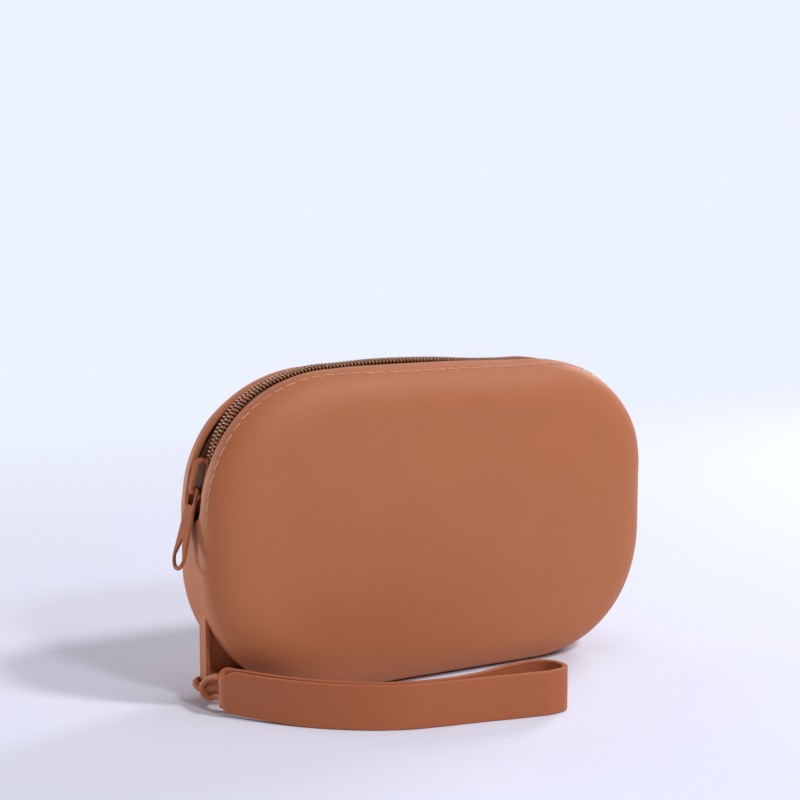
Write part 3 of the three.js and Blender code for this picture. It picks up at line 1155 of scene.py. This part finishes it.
    def lug(self) -> BMesh:
        """Makes the lug at the left lower corner, with the eye for the strap and a hollow above it.

        Returns:
            The lug, rooted in the pouch's wall.
        """
        tip = (self.lug_x + self.lug_tip, self.lug_bottom + self.lug_tip)
        outline = arc(tip, self.lug_tip, math.pi, 3 * QUARTER, self.round_steps)
        outline += self.root_arc(self.lug_x, self.lug_bottom, 0, self.root_steps)
        left = self.lug_x + self.eye_near + self.eye_half
        right = self.lug_x + self.eye_near + self.eye_length - self.eye_half
        eye = arc((left, self.eye_z), self.eye_half, QUARTER, 3 * QUARTER, self.round_steps)
        eye += arc((right, self.eye_z), self.eye_half, -QUARTER, QUARTER, self.round_steps)
        plate = cut_plate(outline, [eye, self.hollow(0)], -self.lug_half, self.lug_half)
        closing = self.hollow(self.hollow_grip)
        floor = cut_plate(closing, [], self.hollow_floor_back, self.hollow_floor_front)
        return moved(join([plate, floor]), UPRIGHT)

    def hollow(self, grown: float) -> list[Point]:
        """Gives the outline of the lug's hollow, which may reach a little past it for its floor."""
        left, low = self.lug_x + self.hollow_rim - grown, self.hollow_low - grown
        return [(left, low), *self.root_arc(left, low, self.hollow_root - grown, self.hollow_steps)]

    def root_arc(self, left: float, low: float, out: float, steps: int) -> list[Point]:
        """Gives the arc beside the pouch's lower left corner that the lug or its hollow ends on.

        Args:
            left: how far to the left it runs.
            low: the height at which it starts.
            out: how far outside the middle of the pouch's wall it lies.
            steps: how many chords it has.

        Returns:
            The arc's points, from its low end up.
        """
        x, z = -self.line.corner_x, self.line.radius
        root = self.line.radius - self.wall / 2 + out
        low_turn = math.pi + math.asin((z - low) / root)
        top_turn = math.pi + math.acos((x - left) / root)
        return arc((x, z), root, low_turn, top_turn, steps)


@dataclass
class ZipTapes:
    """The two woven tapes inside the lips, with their coils, core cords and stops."""

    line: ZipLine
    coil_line: ZipLine
    tape_thick: float = 0.6 * MM
    tape_depth: float = 2.1 * MM
    tape_edge: float = 0.3 * MM
    tape_reach: float = 14.4 * MM
    tape_past: float = 6 * MM
    tape_columns: int = 20
    fold_start: float = 4.4 * MM
    fold_end: float = 5.6 * MM
    step: float = 1.4 * MM
    coil_start: float = 5.2 * MM
    coil_end_back: float = 4 * MM
    coil_pitch: float = 1.3 * MM
    coil_top: float = 0.3 * MM
    coil_bottom: float = 2.1 * MM
    coil_root: float = 3.0 * MM
    coil_past_middle: float = 0.3 * MM
    filament: float = 0.31 * MM
    turn_steps: int = 12
    loop_wide_power: float = 0.7
    loop_high_power: float = 0.8
    core_y: float = 1.8 * MM
    core: float = 0.42 * MM
    stop_length: float = 2.4 * MM
    stop_gap: float = 0.3 * MM
    stop_near: float = 1.3 * MM
    stop_far: float = 3.5 * MM
    stop_wall: float = 0.7 * MM
    stop_round: float = 0.25 * MM

    @property
    def coil_end(self) -> float:
        """Where along the coil's line the loops end."""
        return self.coil_line.length - self.coil_end_back

    @property
    def coil_middle(self) -> float:
        """How deep the middle of the loops lies."""
        return (self.coil_bottom + self.coil_top) / 2

    def build(self, dresser: Dresser) -> None:
        """Makes both rows and their stops.

        Args:
            dresser: places the pieces.
        """
        for row in Row:
            self.build_tape(dresser, row)
            self.build_coil(dresser, row)
            self.build_core(dresser, row)
            low, high = sorted((row.value * self.stop_near, row.value * self.stop_far))
            start = self.coil_start - self.stop_gap - self.stop_length
            self.build_stop(dresser, f"{row.label}_top_stop", start, low, high)
        start = self.coil_end + self.stop_gap
        self.build_stop(dresser, "bottom_stop", start, -self.coil_root, self.coil_root)

    def build_tape(self, dresser: Dresser, row: Row) -> None:
        """Sweeps one tape along the inside of its lip.

        Args:
            dresser: places the piece.
            row: the half of the zip.
        """
        span = self.tape_reach - self.tape_edge
        across = [self.tape_edge + span * i / self.tape_columns for i in range(self.tape_columns + 1)]
        bm = bmesh.new()
        section = [self.line.on_edge(-self.tape_past, row.value * y, self.tape_depth) for y in across]
        chain = start_chain(bm, section)
        for stretch in self.line.sweep(self.tape_past, self.tape_past, self.step):
            chain = stretch.carry(bm, chain)
        bmesh.ops.remove_doubles(bm, verts=bm.verts[:], dist=self.step * WELD_SHARE)
        bmesh.ops.recalc_face_normals(bm, faces=bm.faces[:])
        weave = bm.loops.layers.uv.new("weave")
        for face in bm.faces:
            if face.normal.dot(face.calc_center_median() - Vector((0, 0, self.line.corner_z))) < 0:
                face.normal_flip()
            for corner in face.loops:
                place = corner.vert.co
                corner[weave].uv = (self.line.distance(place), place.y)
        self.fold_to_coil(bm)
        sheet = to_mesh(bm, f"{row.label}_tape")
        tape = dresser.place(sheet, TAPE_CLOTH, Body.POUCH, [f"{row.label}_zip_tape"])
        thicken(tape, self.tape_thick, -1)

    def fold_to_coil(self, bm: BMesh) -> None:
        """Bends a tape's inner edge from the wall to the coil's line.

        Args:
            bm: the tape's sheet along the wall.
        """
        shrink = self.coil_line.length / self.line.length
        for vert in bm.verts:
            near = 1 - ease(self.fold_start, self.fold_end, abs(vert.co.y))
            along = self.line.distance(vert.co) * shrink
            depth = self.tape_depth - follow(COIL_SWELL, along)
            vert.co += near * (self.coil_line.point(along, vert.co.y, depth) - vert.co)

    def build_coil(self, dresser: Dresser, row: Row) -> None:
        """Winds one row of loops.

        Args:
            dresser: places the piece.
            row: the half of the zip.
        """
        turns = int((self.coil_end - self.coil_start) / self.coil_pitch)
        lag = self.coil_pitch / 2 if row is Row.BACK else 0
        outer, inner = self.coil_root - self.filament, -self.coil_past_middle
        half_wide, middle_y = (outer - inner) / 2, (outer + inner) / 2
        half_high = (self.coil_bottom - self.coil_top) / 2 - self.filament
        points = []
        for number in range(turns * self.turn_steps):
            turn, step = divmod(number, self.turn_steps)
            angle = 2 * math.pi * step / self.turn_steps
            back = max(angle - math.pi, 0) / math.pi
            along = self.coil_start + lag + self.coil_pitch * (turn + back)
            wide = math.copysign(abs(math.cos(angle)) ** self.loop_wide_power, -math.cos(angle))
            high = math.copysign(abs(math.sin(angle)) ** self.loop_high_power, math.sin(angle))
            y = row.value * (middle_y + half_wide * wide)
            depth = self.coil_middle - half_high * high - follow(COIL_SWELL, along)
            points.append(self.coil_line.point(along, y, depth))
        mesh = curve_mesh(f"{row.label}_coil", [points], self.filament)
        dresser.place(mesh, COIL_NYLON, Body.POUCH, [f"{row.label}_zip_coil"])

    def build_core(self, dresser: Dresser, row: Row) -> None:
        """Runs the core cord through one row of loops.

        Args:
            dresser: places the piece.
            row: the half of the zip.
        """
        run = self.coil_end - self.coil_start
        steps = round(run / self.step)
        points = []
        for i in range(steps + 1):
            along = self.coil_start + run * i / steps
            depth = self.coil_middle - follow(COIL_SWELL, along)
            points.append(self.coil_line.point(along, row.value * self.core_y, depth))
        mesh = curve_mesh(f"{row.label}_core_cord", [points], self.core, sides=2)
        dresser.place(mesh, CORE_CLOTH, Body.POUCH, [f"{row.label}_coil_core_cord"])

    def build_stop(self, dresser: Dresser, name: str, start: float, low: float, high: float) -> None:
        """Makes a stop: a small clip whose two legs are crimped over the coil's end.

        Args:
            dresser: places the piece.
            name: the CAD node that it stands for.
            start: where along the line it begins.
            low: its first side from front to back.
            high: its second side.
        """
        top, foot = -self.coil_top, -self.coil_bottom
        roof = top - self.stop_wall
        left, right = low + self.stop_wall, high - self.stop_wall
        section = [(low, foot), (left, foot), (left, roof), (right, roof), (right, foot)]
        section += [(high, foot), (high, top), (low, top)]
        along = Matrix(((0, 0, 1), (1, 0, 0), (0, 1, 0))).to_4x4()
        bm = moved(cut_plate(section, [], 0, self.stop_length), self.coil_line.frame(start) @ along)
        clip = dresser.place(to_mesh(bm, f"{name}_clip"), PAINT, Body.POUCH, [name])
        round_edges(clip, self.stop_round)


@dataclass
class Slider:
    """The slider: two plates joined by a post, side flanges, and a bail for the pull."""

    coil_line: ZipLine
    turn_degrees: float = 13.3
    half_length: float = 6 * MM
    nose_half: float = 4.4 * MM
    tail_half: float = 3.9 * MM
    nose_round: float = 1.6 * MM
    tail_round: float = 1.0 * MM
    plate_low: float = -0.1 * MM
    plate_high: float = 0.75 * MM
    flange_depth: float = 1.7 * MM
    flange_thick: float = 0.5 * MM
    base_depth: float = 3.8 * MM
    base_thick: float = 1.0 * MM
    base_trim: float = 0.6 * MM
    post_start: float = -4.8 * MM
    post_length: float = 3.6 * MM
    post_half: float = 0.9 * MM
    bail_half_length: float = 5.8 * MM
    bail_half_width: float = 1.3 * MM
    bail_rise: float = 2.8 * MM
    bail_thick: float = 0.8 * MM
    bail_bend: float = 2.2 * MM
    bail_bend_share: float = 0.6
    bail_steps: int = 6
    round_steps: int = 5
    edge_round: float = 0.28 * MM
    # The floor under the bail that carries the painted shade
    painted_shade_half_length: float = 4.8 * MM
    painted_shade_half_width: float = 2.9 * MM
    painted_shade_proud: float = 0.03 * MM

    def plan(self, trim: float) -> list[Point]:
        """Gives a plate's outline from above, wide at the nose and narrow at the tail.

        Args:
            trim: how much smaller it is all round.

        Returns:
            The outline's points.
        """
        half = self.half_length - trim
        nose, tail = self.nose_half - trim, self.tail_half - trim
        nose_x, tail_x = -half + self.nose_round, half - self.tail_round
        nose_y, tail_y = nose - self.nose_round, tail - self.tail_round
        front = [(nose_x, -nose_y, self.nose_round), (tail_x, -tail_y, self.tail_round)]
        back = [(tail_x, tail_y, self.tail_round), (nose_x, nose_y, self.nose_round)]
        return rounded(front + back, 2, self.round_steps)

    def flange(self, side: int) -> BMesh:
        """Makes the flange on one side of the plates.

        Args:
            side: -1 for the front, 1 for the back.

        Returns:
            The flange.
        """
        nose_x, tail_x = -self.half_length + self.nose_round, self.half_length - self.tail_round
        corners = [
            (nose_x, side * self.nose_half),
            (tail_x, side * self.tail_half),
            (tail_x, side * (self.tail_half - self.flange_thick)),
            (nose_x, side * (self.nose_half - self.flange_thick)),
        ]
        return cut_plate(corners, [], -self.flange_depth, (self.plate_low + self.plate_high) / 2)

    def bail(self) -> BMesh:
        """Makes the arched bail, open from side to side.

        Returns:
            The bail, with its feet in the top plate.
        """
        foot = (self.plate_low + self.plate_high) / 2
        top = self.plate_high + self.bail_rise
        outline = []
        for trim, way in ((0.0, 1), (self.bail_thick, -1)):
            half, high = self.bail_half_length - trim, top - trim
            bend = self.bail_bend - trim * self.bail_bend_share
            side = [(-half, foot), *arc((-half + bend, high - bend), bend, math.pi, QUARTER, self.bail_steps)]
            side += [*arc((half - bend, high - bend), bend, QUARTER, 0, self.bail_steps), (half, foot)]
            outline += side[::way]
        return moved(cut_plate(outline, [], -self.bail_half_width, self.bail_half_width), UPRIGHT)

    def painted_shade(self) -> BMesh:
        """Makes a floor under the bail that carries painted shade, which stands for the bail's shadow there.

        Returns:
            The floor, marked with the painted shade attribute.
        """
        long, wide = self.painted_shade_half_length, self.painted_shade_half_width
        corners = [(-long, -wide), (long, -wide), (long, wide), (-long, wide)]
        bm = cut_plate(corners, [], self.plate_high / 2, self.plate_high + self.painted_shade_proud)
        marked = bm.verts.layers.float.new(PAINTED_SHADE_ATTRIBUTE)
        for vert in bm.verts:
            vert[marked] = 1.0
        return bm

    def build(self, dresser: Dresser) -> None:
        """Makes the slider where the zip is closed.

        Args:
            dresser: places the piece.
        """
        post_end = self.post_start + self.post_length
        post = [
            (self.post_start, -self.post_half),
            (post_end, -self.post_half / 2),
            (post_end, self.post_half / 2),
            (self.post_start, self.post_half),
        ]
        base_low = -self.base_depth - self.base_thick
        plates = [
            cut_plate(self.plan(0), [], self.plate_low, self.plate_high),
            cut_plate(self.plan(self.base_trim), [], base_low, -self.base_depth),
            cut_plate(post, [], base_low + self.base_thick / 2, self.plate_low + self.edge_round),
        ]
        place = self.coil_line.frame(math.radians(self.turn_degrees) * self.coil_line.radius)
        # The slider's mesh includes the floor with painted shade under the bail
        bm = moved(join([*plates, self.flange(-1), self.flange(1), self.bail(), self.painted_shade()]), place)
        piece = dresser.place(to_mesh(bm, "zip_slider"), PAINT, Body.SLIDER, ["slider_body"])
        round_edges(piece, self.edge_round)


@dataclass
class PullTab:
    """The flat pull: a bar that turns in the bail, a widening tab and a teardrop grip hole."""

    pivot: Vector
    lean_degrees: float = 14.3
    length: float = 26 * MM
    thick: float = 0.9 * MM
    top_half: float = 3.4 * MM
    top_chamfer: float = 0.6 * MM
    bar: float = 0.6 * MM
    neck: float = 6.5 * MM
    end_half: float = 4.6 * MM
    eye_half: float = 2.2 * MM
    eye_end: float = 5 * MM
    eye_round: float = 0.9 * MM
    grip_top: float = 16.2 * MM
    grip_top_half: float = 1.2 * MM
    grip_end_half: float = 3.3 * MM
    grip_rim: float = 1.3 * MM
    edge_round: float = 0.3 * MM
    end_steps: int = 18
    eye_steps: int = 4
    grip_end_steps: int = 14
    grip_top_steps: int = 8

    def build(self, dresser: Dresser) -> None:
        """Makes the pull as it hangs.

        Args:
            dresser: places the piece.
        """
        end = self.length - self.end_half
        outline = [
            (-self.top_half, self.neck),
            (-self.top_half, self.top_chamfer - self.bar),
            (-self.top_half + self.top_chamfer, -self.bar),
            (self.top_half - self.top_chamfer, -self.bar),
            (self.top_half, self.top_chamfer - self.bar),
            (self.top_half, self.neck),
            *arc((0, end), self.end_half, 0, math.pi, self.end_steps),
        ]
        wide = self.eye_half - self.eye_round
        low, high = self.bar + self.eye_round, self.eye_end - self.eye_round
        middles = ((wide, low), (wide, high), (-wide, high), (-wide, low))
        eye = rounded([(*middle, self.eye_round) for middle in middles], 3, self.eye_steps)
        grip_end = self.length - self.grip_rim - self.grip_end_half
        grip_top = self.grip_top + self.grip_top_half
        grip = arc((0, grip_end), self.grip_end_half, 0, math.pi, self.grip_end_steps)
        grip += arc((0, grip_top), self.grip_top_half, math.pi, 2 * math.pi, self.grip_top_steps)
        bm = cut_plate(outline, [eye, grip], -self.thick / 2, self.thick / 2)
        lean = math.radians(self.lean_degrees)
        down = Vector((-math.sin(lean), 0, -math.cos(lean)))
        turn = Matrix((DEPTH_AXIS, down, DEPTH_AXIS.cross(down))).transposed().to_4x4()
        hung = moved(bm, Matrix.Translation(self.pivot) @ turn)
        piece = dresser.place(to_mesh(hung, "zip_pull"), PAINT, Body.PULL, ["pull_tab"])
        round_edges(piece, self.edge_round)


# The folded band's middle line on the ground, in millimetres, from its end at the lug and back
BAND_ROUTE = (
    (-79.6, -13.6), (-76, -19.8), (-70.8, -27.2), (-63.3, -36), (-50.6, -46.8), (-37.2, -54),
    (-26.2, -56.8), (-13.4, -59.2), (2.3, -62.5), (11.2, -63.6), (16.2, -61.9), (17.3, -57.7),
    (15.1, -53.4), (9.6, -51.3), (3.6, -51.8), (-4, -53.1), (-13, -54.8), (-25.7, -54.2),
    (-36.2, -51.5), (-49, -44.7), (-61.3, -33.8), (-68.9, -24.6), (-75.8, -15), (-78, -12.2),
)
# The hitched cord in millimetres from the post's middle: from the band to the eye, and back to the band
HITCH_OUT = ((0.1, -14, 0.6), (0.3, -9, 0.6), (2.6, -5.2, 0.2))
HITCH_BACK = ((-4.4, 0.4, -0.2), (-3.9, -2.3, -0.9), (-1.7, -5.6, -0.4), (-0.1, -9, 0.2), (0.1, -14, 0.2))
# The cord's bight, which wraps over both strands from the band's upper corner to its lower half
BIGHT = (
    (-0.4, -14.5, 4.6), (-1.4, -10.5, 4.6), (-2.2, -7, 3.4), (-3.3, -4.6, 1.7),
    (-4, -4, -0.9), (-2.8, -6, -2.9), (-1.1, -9, -1.9), (-0.3, -14, -1),
)


@dataclass
class WristStrap:
    """The wrist strap: a flat band folded to a long loop, and the cord loop that hitches it."""

    post: Vector
    height: float = 14 * MM
    thick: float = 1.7 * MM
    rows: int = 8
    edge_round: float = 0.35 * MM
    low_round: float = 1.6 * MM
    high_round: float = 3.0 * MM
    tip_lift: float = 1.2 * MM
    tip_reach: float = 26 * MM
    tip_taper: float = 0.65
    cord: float = 1.05 * MM
    ring: float = 4.3 * MM
    ring_steps: int = 10
    free_start_degrees: float = -15
    free_end_degrees: float = 150

    def build(self, dresser: Dresser) -> None:
        """Makes the band and the hitch.

        Args:
            dresser: places the pieces.
        """
        band = dresser.place(self.band(), SHADED_STRAP_SILICONE, Body.STRAP, ["wrist_strap"])
        thicken(band, self.thick, 0)
        round_edges(band, self.edge_round, SHEET_DEGREES)
        lines = [self.hitch_line(), self.from_post(BIGHT)]
        hitch = curve_mesh("hitch_loop", lines, self.cord, smooth=True, sides=4)
        dresser.place(hitch, SHADED_STRAP_SILICONE, Body.STRAP, ["wrist_strap"])

    def band(self) -> Mesh:
        """Raises the band from its line on the ground; its hitched end is rounded and a little lifted.

        Returns:
            The band's middle sheet.
        """
        route = [Vector((x * MM, y * MM, 0)) for x, y in BAND_ROUTE]
        line = curve_mesh("band_line", [route], 0, closed=True, smooth=True)
        bm = bmesh.new()
        bm.from_mesh(line)
        bpy.data.meshes.remove(line)
        Straight(UP * self.height, self.rows).carry(bm, bm.edges[:])
        bmesh.ops.recalc_face_normals(bm, faces=bm.faces[:])
        tip = min(vert.co.x for vert in bm.verts)
        for vert in bm.verts:
            past = vert.co.x - tip
            low = self.corner_cut(past, self.low_round)
            high = self.height - self.corner_cut(past, self.high_round)
            share = vert.co.z / self.height
            lift = self.tip_lift * max(1 - past / self.tip_reach, 0) ** 2
            vert.co.z = low + (high - low) * share + lift * (1 - self.tip_taper * share)
        return to_mesh(bm, "strap_band", SHEET_DEGREES)

    def corner_cut(self, past: float, radius: float) -> float:
        """Gives how much of the band's height a rounded corner takes away so far past its end."""
        short = max(radius - past, 0)
        return radius - math.sqrt(max(radius**2 - short**2, 0))

    def hitch_line(self) -> list[Vector]:
        """Gives the cord's line from the band, through the lug's eye, round its post and back.

        Returns:
            The line's points. The part that the eye can meet as the strap turns is a level arc.
        """
        start, end = math.radians(self.free_start_degrees), math.radians(self.free_end_degrees)
        level = [Vector((*p, self.post.z)) for p in arc(self.post.xy, self.ring, start, end, self.ring_steps)]
        return self.from_post(HITCH_OUT) + level + self.from_post(HITCH_BACK)

    def from_post(self, steps: Sequence[tuple[float, float, float]]) -> list[Vector]:
        """Gives points that are told in millimetres from the middle of the lug's post."""
        return [self.post + Vector(step) * MM for step in steps]


@dataclass
class PhotoCamera:
    """The camera at the photograph's viewing angle, for a square picture."""

    aim: Vector
    yaw_degrees: float = 29.419
    pitch_degrees: float = 7.703
    distance: float = 576.0 * MM
    aim_right: float = 7.22 * MM
    aim_below: float = 39.08 * MM
    lens_mm: float = 76.88
    sensor_mm: float = 36

    def build(self) -> None:
        """Makes the camera and hands it to the scene."""
        yaw, pitch = math.radians(self.yaw_degrees), math.radians(self.pitch_degrees)
        right = Vector((math.cos(yaw), -math.sin(yaw), 0))
        level = Vector((math.sin(yaw), math.cos(yaw), 0))
        forward = level * math.cos(pitch) - UP * math.sin(pitch)
        above = level * math.sin(pitch) + UP * math.cos(pitch)
        data = bpy.data.cameras.new("photo_camera")
        data.lens = self.lens_mm
        data.sensor_width = self.sensor_mm
        data.sensor_fit = "HORIZONTAL"
        camera = add_object("photo_camera", data)
        place = self.aim - forward * self.distance - right * self.aim_right + above * self.aim_below
        turn = Matrix((right, above, -forward)).transposed().to_4x4()
        camera.matrix_world = Matrix.Translation(place) @ turn
        bpy.context.scene.camera = camera


@dataclass(frozen=True)
class SoftLight:
    """A soft studio lamp that faces the pouch."""

    name: str
    place: tuple[float, float, float]
    size: float
    watts: float
    colour: str

    def build(self, aim: Vector) -> None:
        """Makes the lamp.

        Args:
            aim: the point that it faces.
        """
        data = bpy.data.lights.new(self.name, "AREA")
        data.shape = "DISK"
        data.size = self.size
        data.energy = self.watts
        data.color = linear(self.colour)[:3]
        lamp = add_object(self.name, data)
        lamp.location = self.place
        lamp.rotation_euler = (aim - Vector(self.place)).to_track_quat("-Z", "Y").to_euler()


LAMPS = (
    SoftLight("key_front_right", (0.86, -1.13, 1.63), 0.3, 23.0, "#FFFAF6"),
    SoftLight("front_soft", (0.14, -0.95, 0.76), 0.16, 3.9, "#FFFFFF"),
    SoftLight("top_soft", (0.1, 0.0, 1.2), 0.8, 2.2, "#FFFFFF"),
    SoftLight("low_back_left", (-0.52, 0.68, 0.1), 0.16, 2.6, "#FFECDD"),
    SoftLight("low_left", (-0.88, -0.02, 0.14), 0.3, 1.1, "#FFECDD"),
    SoftLight("rim_right", (0.75, 0.35, 0.5), 0.3, 3.2, "#FFFFFF"),
)


@dataclass
class Studio:
    """The pale floor that curves up to a backdrop, the lamps and the even light around them."""

    floor_z: float = -0.1 * MM
    half_width: float = 4.0
    front: float = -3.0
    back: float = 1.0
    bend: float = 0.7
    wall: float = 2.0
    seen_colour: str = "#DFE4F8"
    colour: str = "#E8E6E4"
    haze: str = "#EDF2FF"
    haze_start: float = 0.1
    haze_end: float = 0.6
    sky: str = "#F7F8FF"
    sky_strength: float = 0.16
    floor_roughness: float = 0.9
    bend_steps: int = 24
    bend_degrees: float = 80

    def build(self, aim: Vector) -> None:
        """Makes the stage and lights it.

        Args:
            aim: the point that the lamps face.
        """
        self.build_floor()
        for lamp in LAMPS:
            lamp.build(aim)
        world = bpy.data.worlds.new("even_light")
        bpy.context.scene.world = world
        world.use_nodes = True
        glow = {"Color": linear(self.sky), "Strength": self.sky_strength}
        wire(world.node_tree, world.node_tree.nodes["Background"], glow)
        bpy.context.scene.view_settings.view_transform = "Standard"

    def build_floor(self) -> None:
        """Makes the floor and backdrop as one curved sheet."""
        bm = bmesh.new()
        side = [Vector((-self.half_width, self.front, self.floor_z))]
        curve = arc((self.back, self.floor_z + self.bend), self.bend, -QUARTER, 0, self.bend_steps)
        side += [Vector((-self.half_width, y, z)) for y, z in curve]
        side.append(Vector((-self.half_width, self.back + self.bend, self.wall)))
        Straight(Vector((2 * self.half_width, 0, 0)), 1).carry(bm, start_chain(bm, side))
        floor = add_object("floor", to_mesh(bm, "floor", self.bend_degrees))
        material = bpy.data.materials.new("plain_pale_floor")
        material.use_nodes = True
        self.fade_far_off(material.node_tree, material.node_tree.nodes["Principled BSDF"])
        floor.data.materials.append(material)

    def fade_far_off(self, tree: NodeTree, shader: Node) -> None:
        """Gives the floor a cool tint and an even pale haze behind the pouch, for the eye alone.

        Args:
            tree: the floor's node tree.
            shader: the floor's own shader.
        """
        place = add_node(tree, "ShaderNodeTexCoord", {}).outputs["Object"]
        back = add_node(tree, "ShaderNodeSeparateXYZ", {"Vector": place}).outputs["Y"]
        reach = {"Value": back, "From Min": self.haze_start, "From Max": self.haze_end}
        far = add_node(tree, "ShaderNodeMapRange", reach, interpolation_type="SMOOTHSTEP").outputs["Result"]
        path = add_node(tree, "ShaderNodeLightPath", {}).outputs
        seen = path["Is Camera Ray"]
        for ray in ("Is Glossy Ray", "Is Transmission Ray"):
            both = add_node(tree, "ShaderNodeMath", {0: seen, 1: path[ray]}, operation="MAXIMUM")
            seen = both.outputs["Value"]
        share = add_node(tree, "ShaderNodeMath", {0: seen, 1: far}, operation="MULTIPLY").outputs["Value"]
        ends = {MixInput.FIRST: linear(self.colour), MixInput.SECOND: linear(self.seen_colour)}
        tint = add_node(tree, "ShaderNodeMix", {"Factor": seen, **ends}, data_type="RGBA")
        wire(tree, shader, {"Base Color": tint.outputs[MIX_COLOUR_OUT], "Roughness": self.floor_roughness})
        haze = add_node(tree, "ShaderNodeEmission", {"Color": linear(self.haze)}).outputs["Emission"]
        blend = add_node(tree, "ShaderNodeMixShader", {0: share, 1: shader.outputs["BSDF"], 2: haze})
        wire(tree, tree.nodes["Material Output"], {"Surface": blend.outputs["Shader"]})


def main() -> None:
    """Loads the frame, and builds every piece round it."""
    logging.basicConfig(level=logging.INFO, format="%(name)s: %(message)s")
    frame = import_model()
    joints = {joint["name"]: Vector(joint["pos_m"]) for joint in frame["joints"]}
    _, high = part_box("pouch_body")
    centre = joints["slider_run"]
    line = ZipLine(high.x - CORNER_RADIUS, high.z - CORNER_RADIUS, CORNER_RADIUS, high.y)
    coil_line = replace(line, corner_x=-centre.x, corner_z=centre.z, fall=COIL_FALL)
    seam = Seam(line)
    dresser = Dresser()
    PhotoCamera(Vector((0, 0, high.z / 2))).build()
    PouchShell(line, seam).build(dresser)
    for row in Row:
        seam.build(dresser, row)
    ZipTapes(line, coil_line).build(dresser)
    Slider(coil_line).build(dresser)
    PullTab(joints["pull_swing"]).build(dresser)
    WristStrap(joints["strap_swing"]).build(dresser)
    Studio().build(Vector((0, 0, high.z / 2)))


if __name__ == "__main__":
    main()
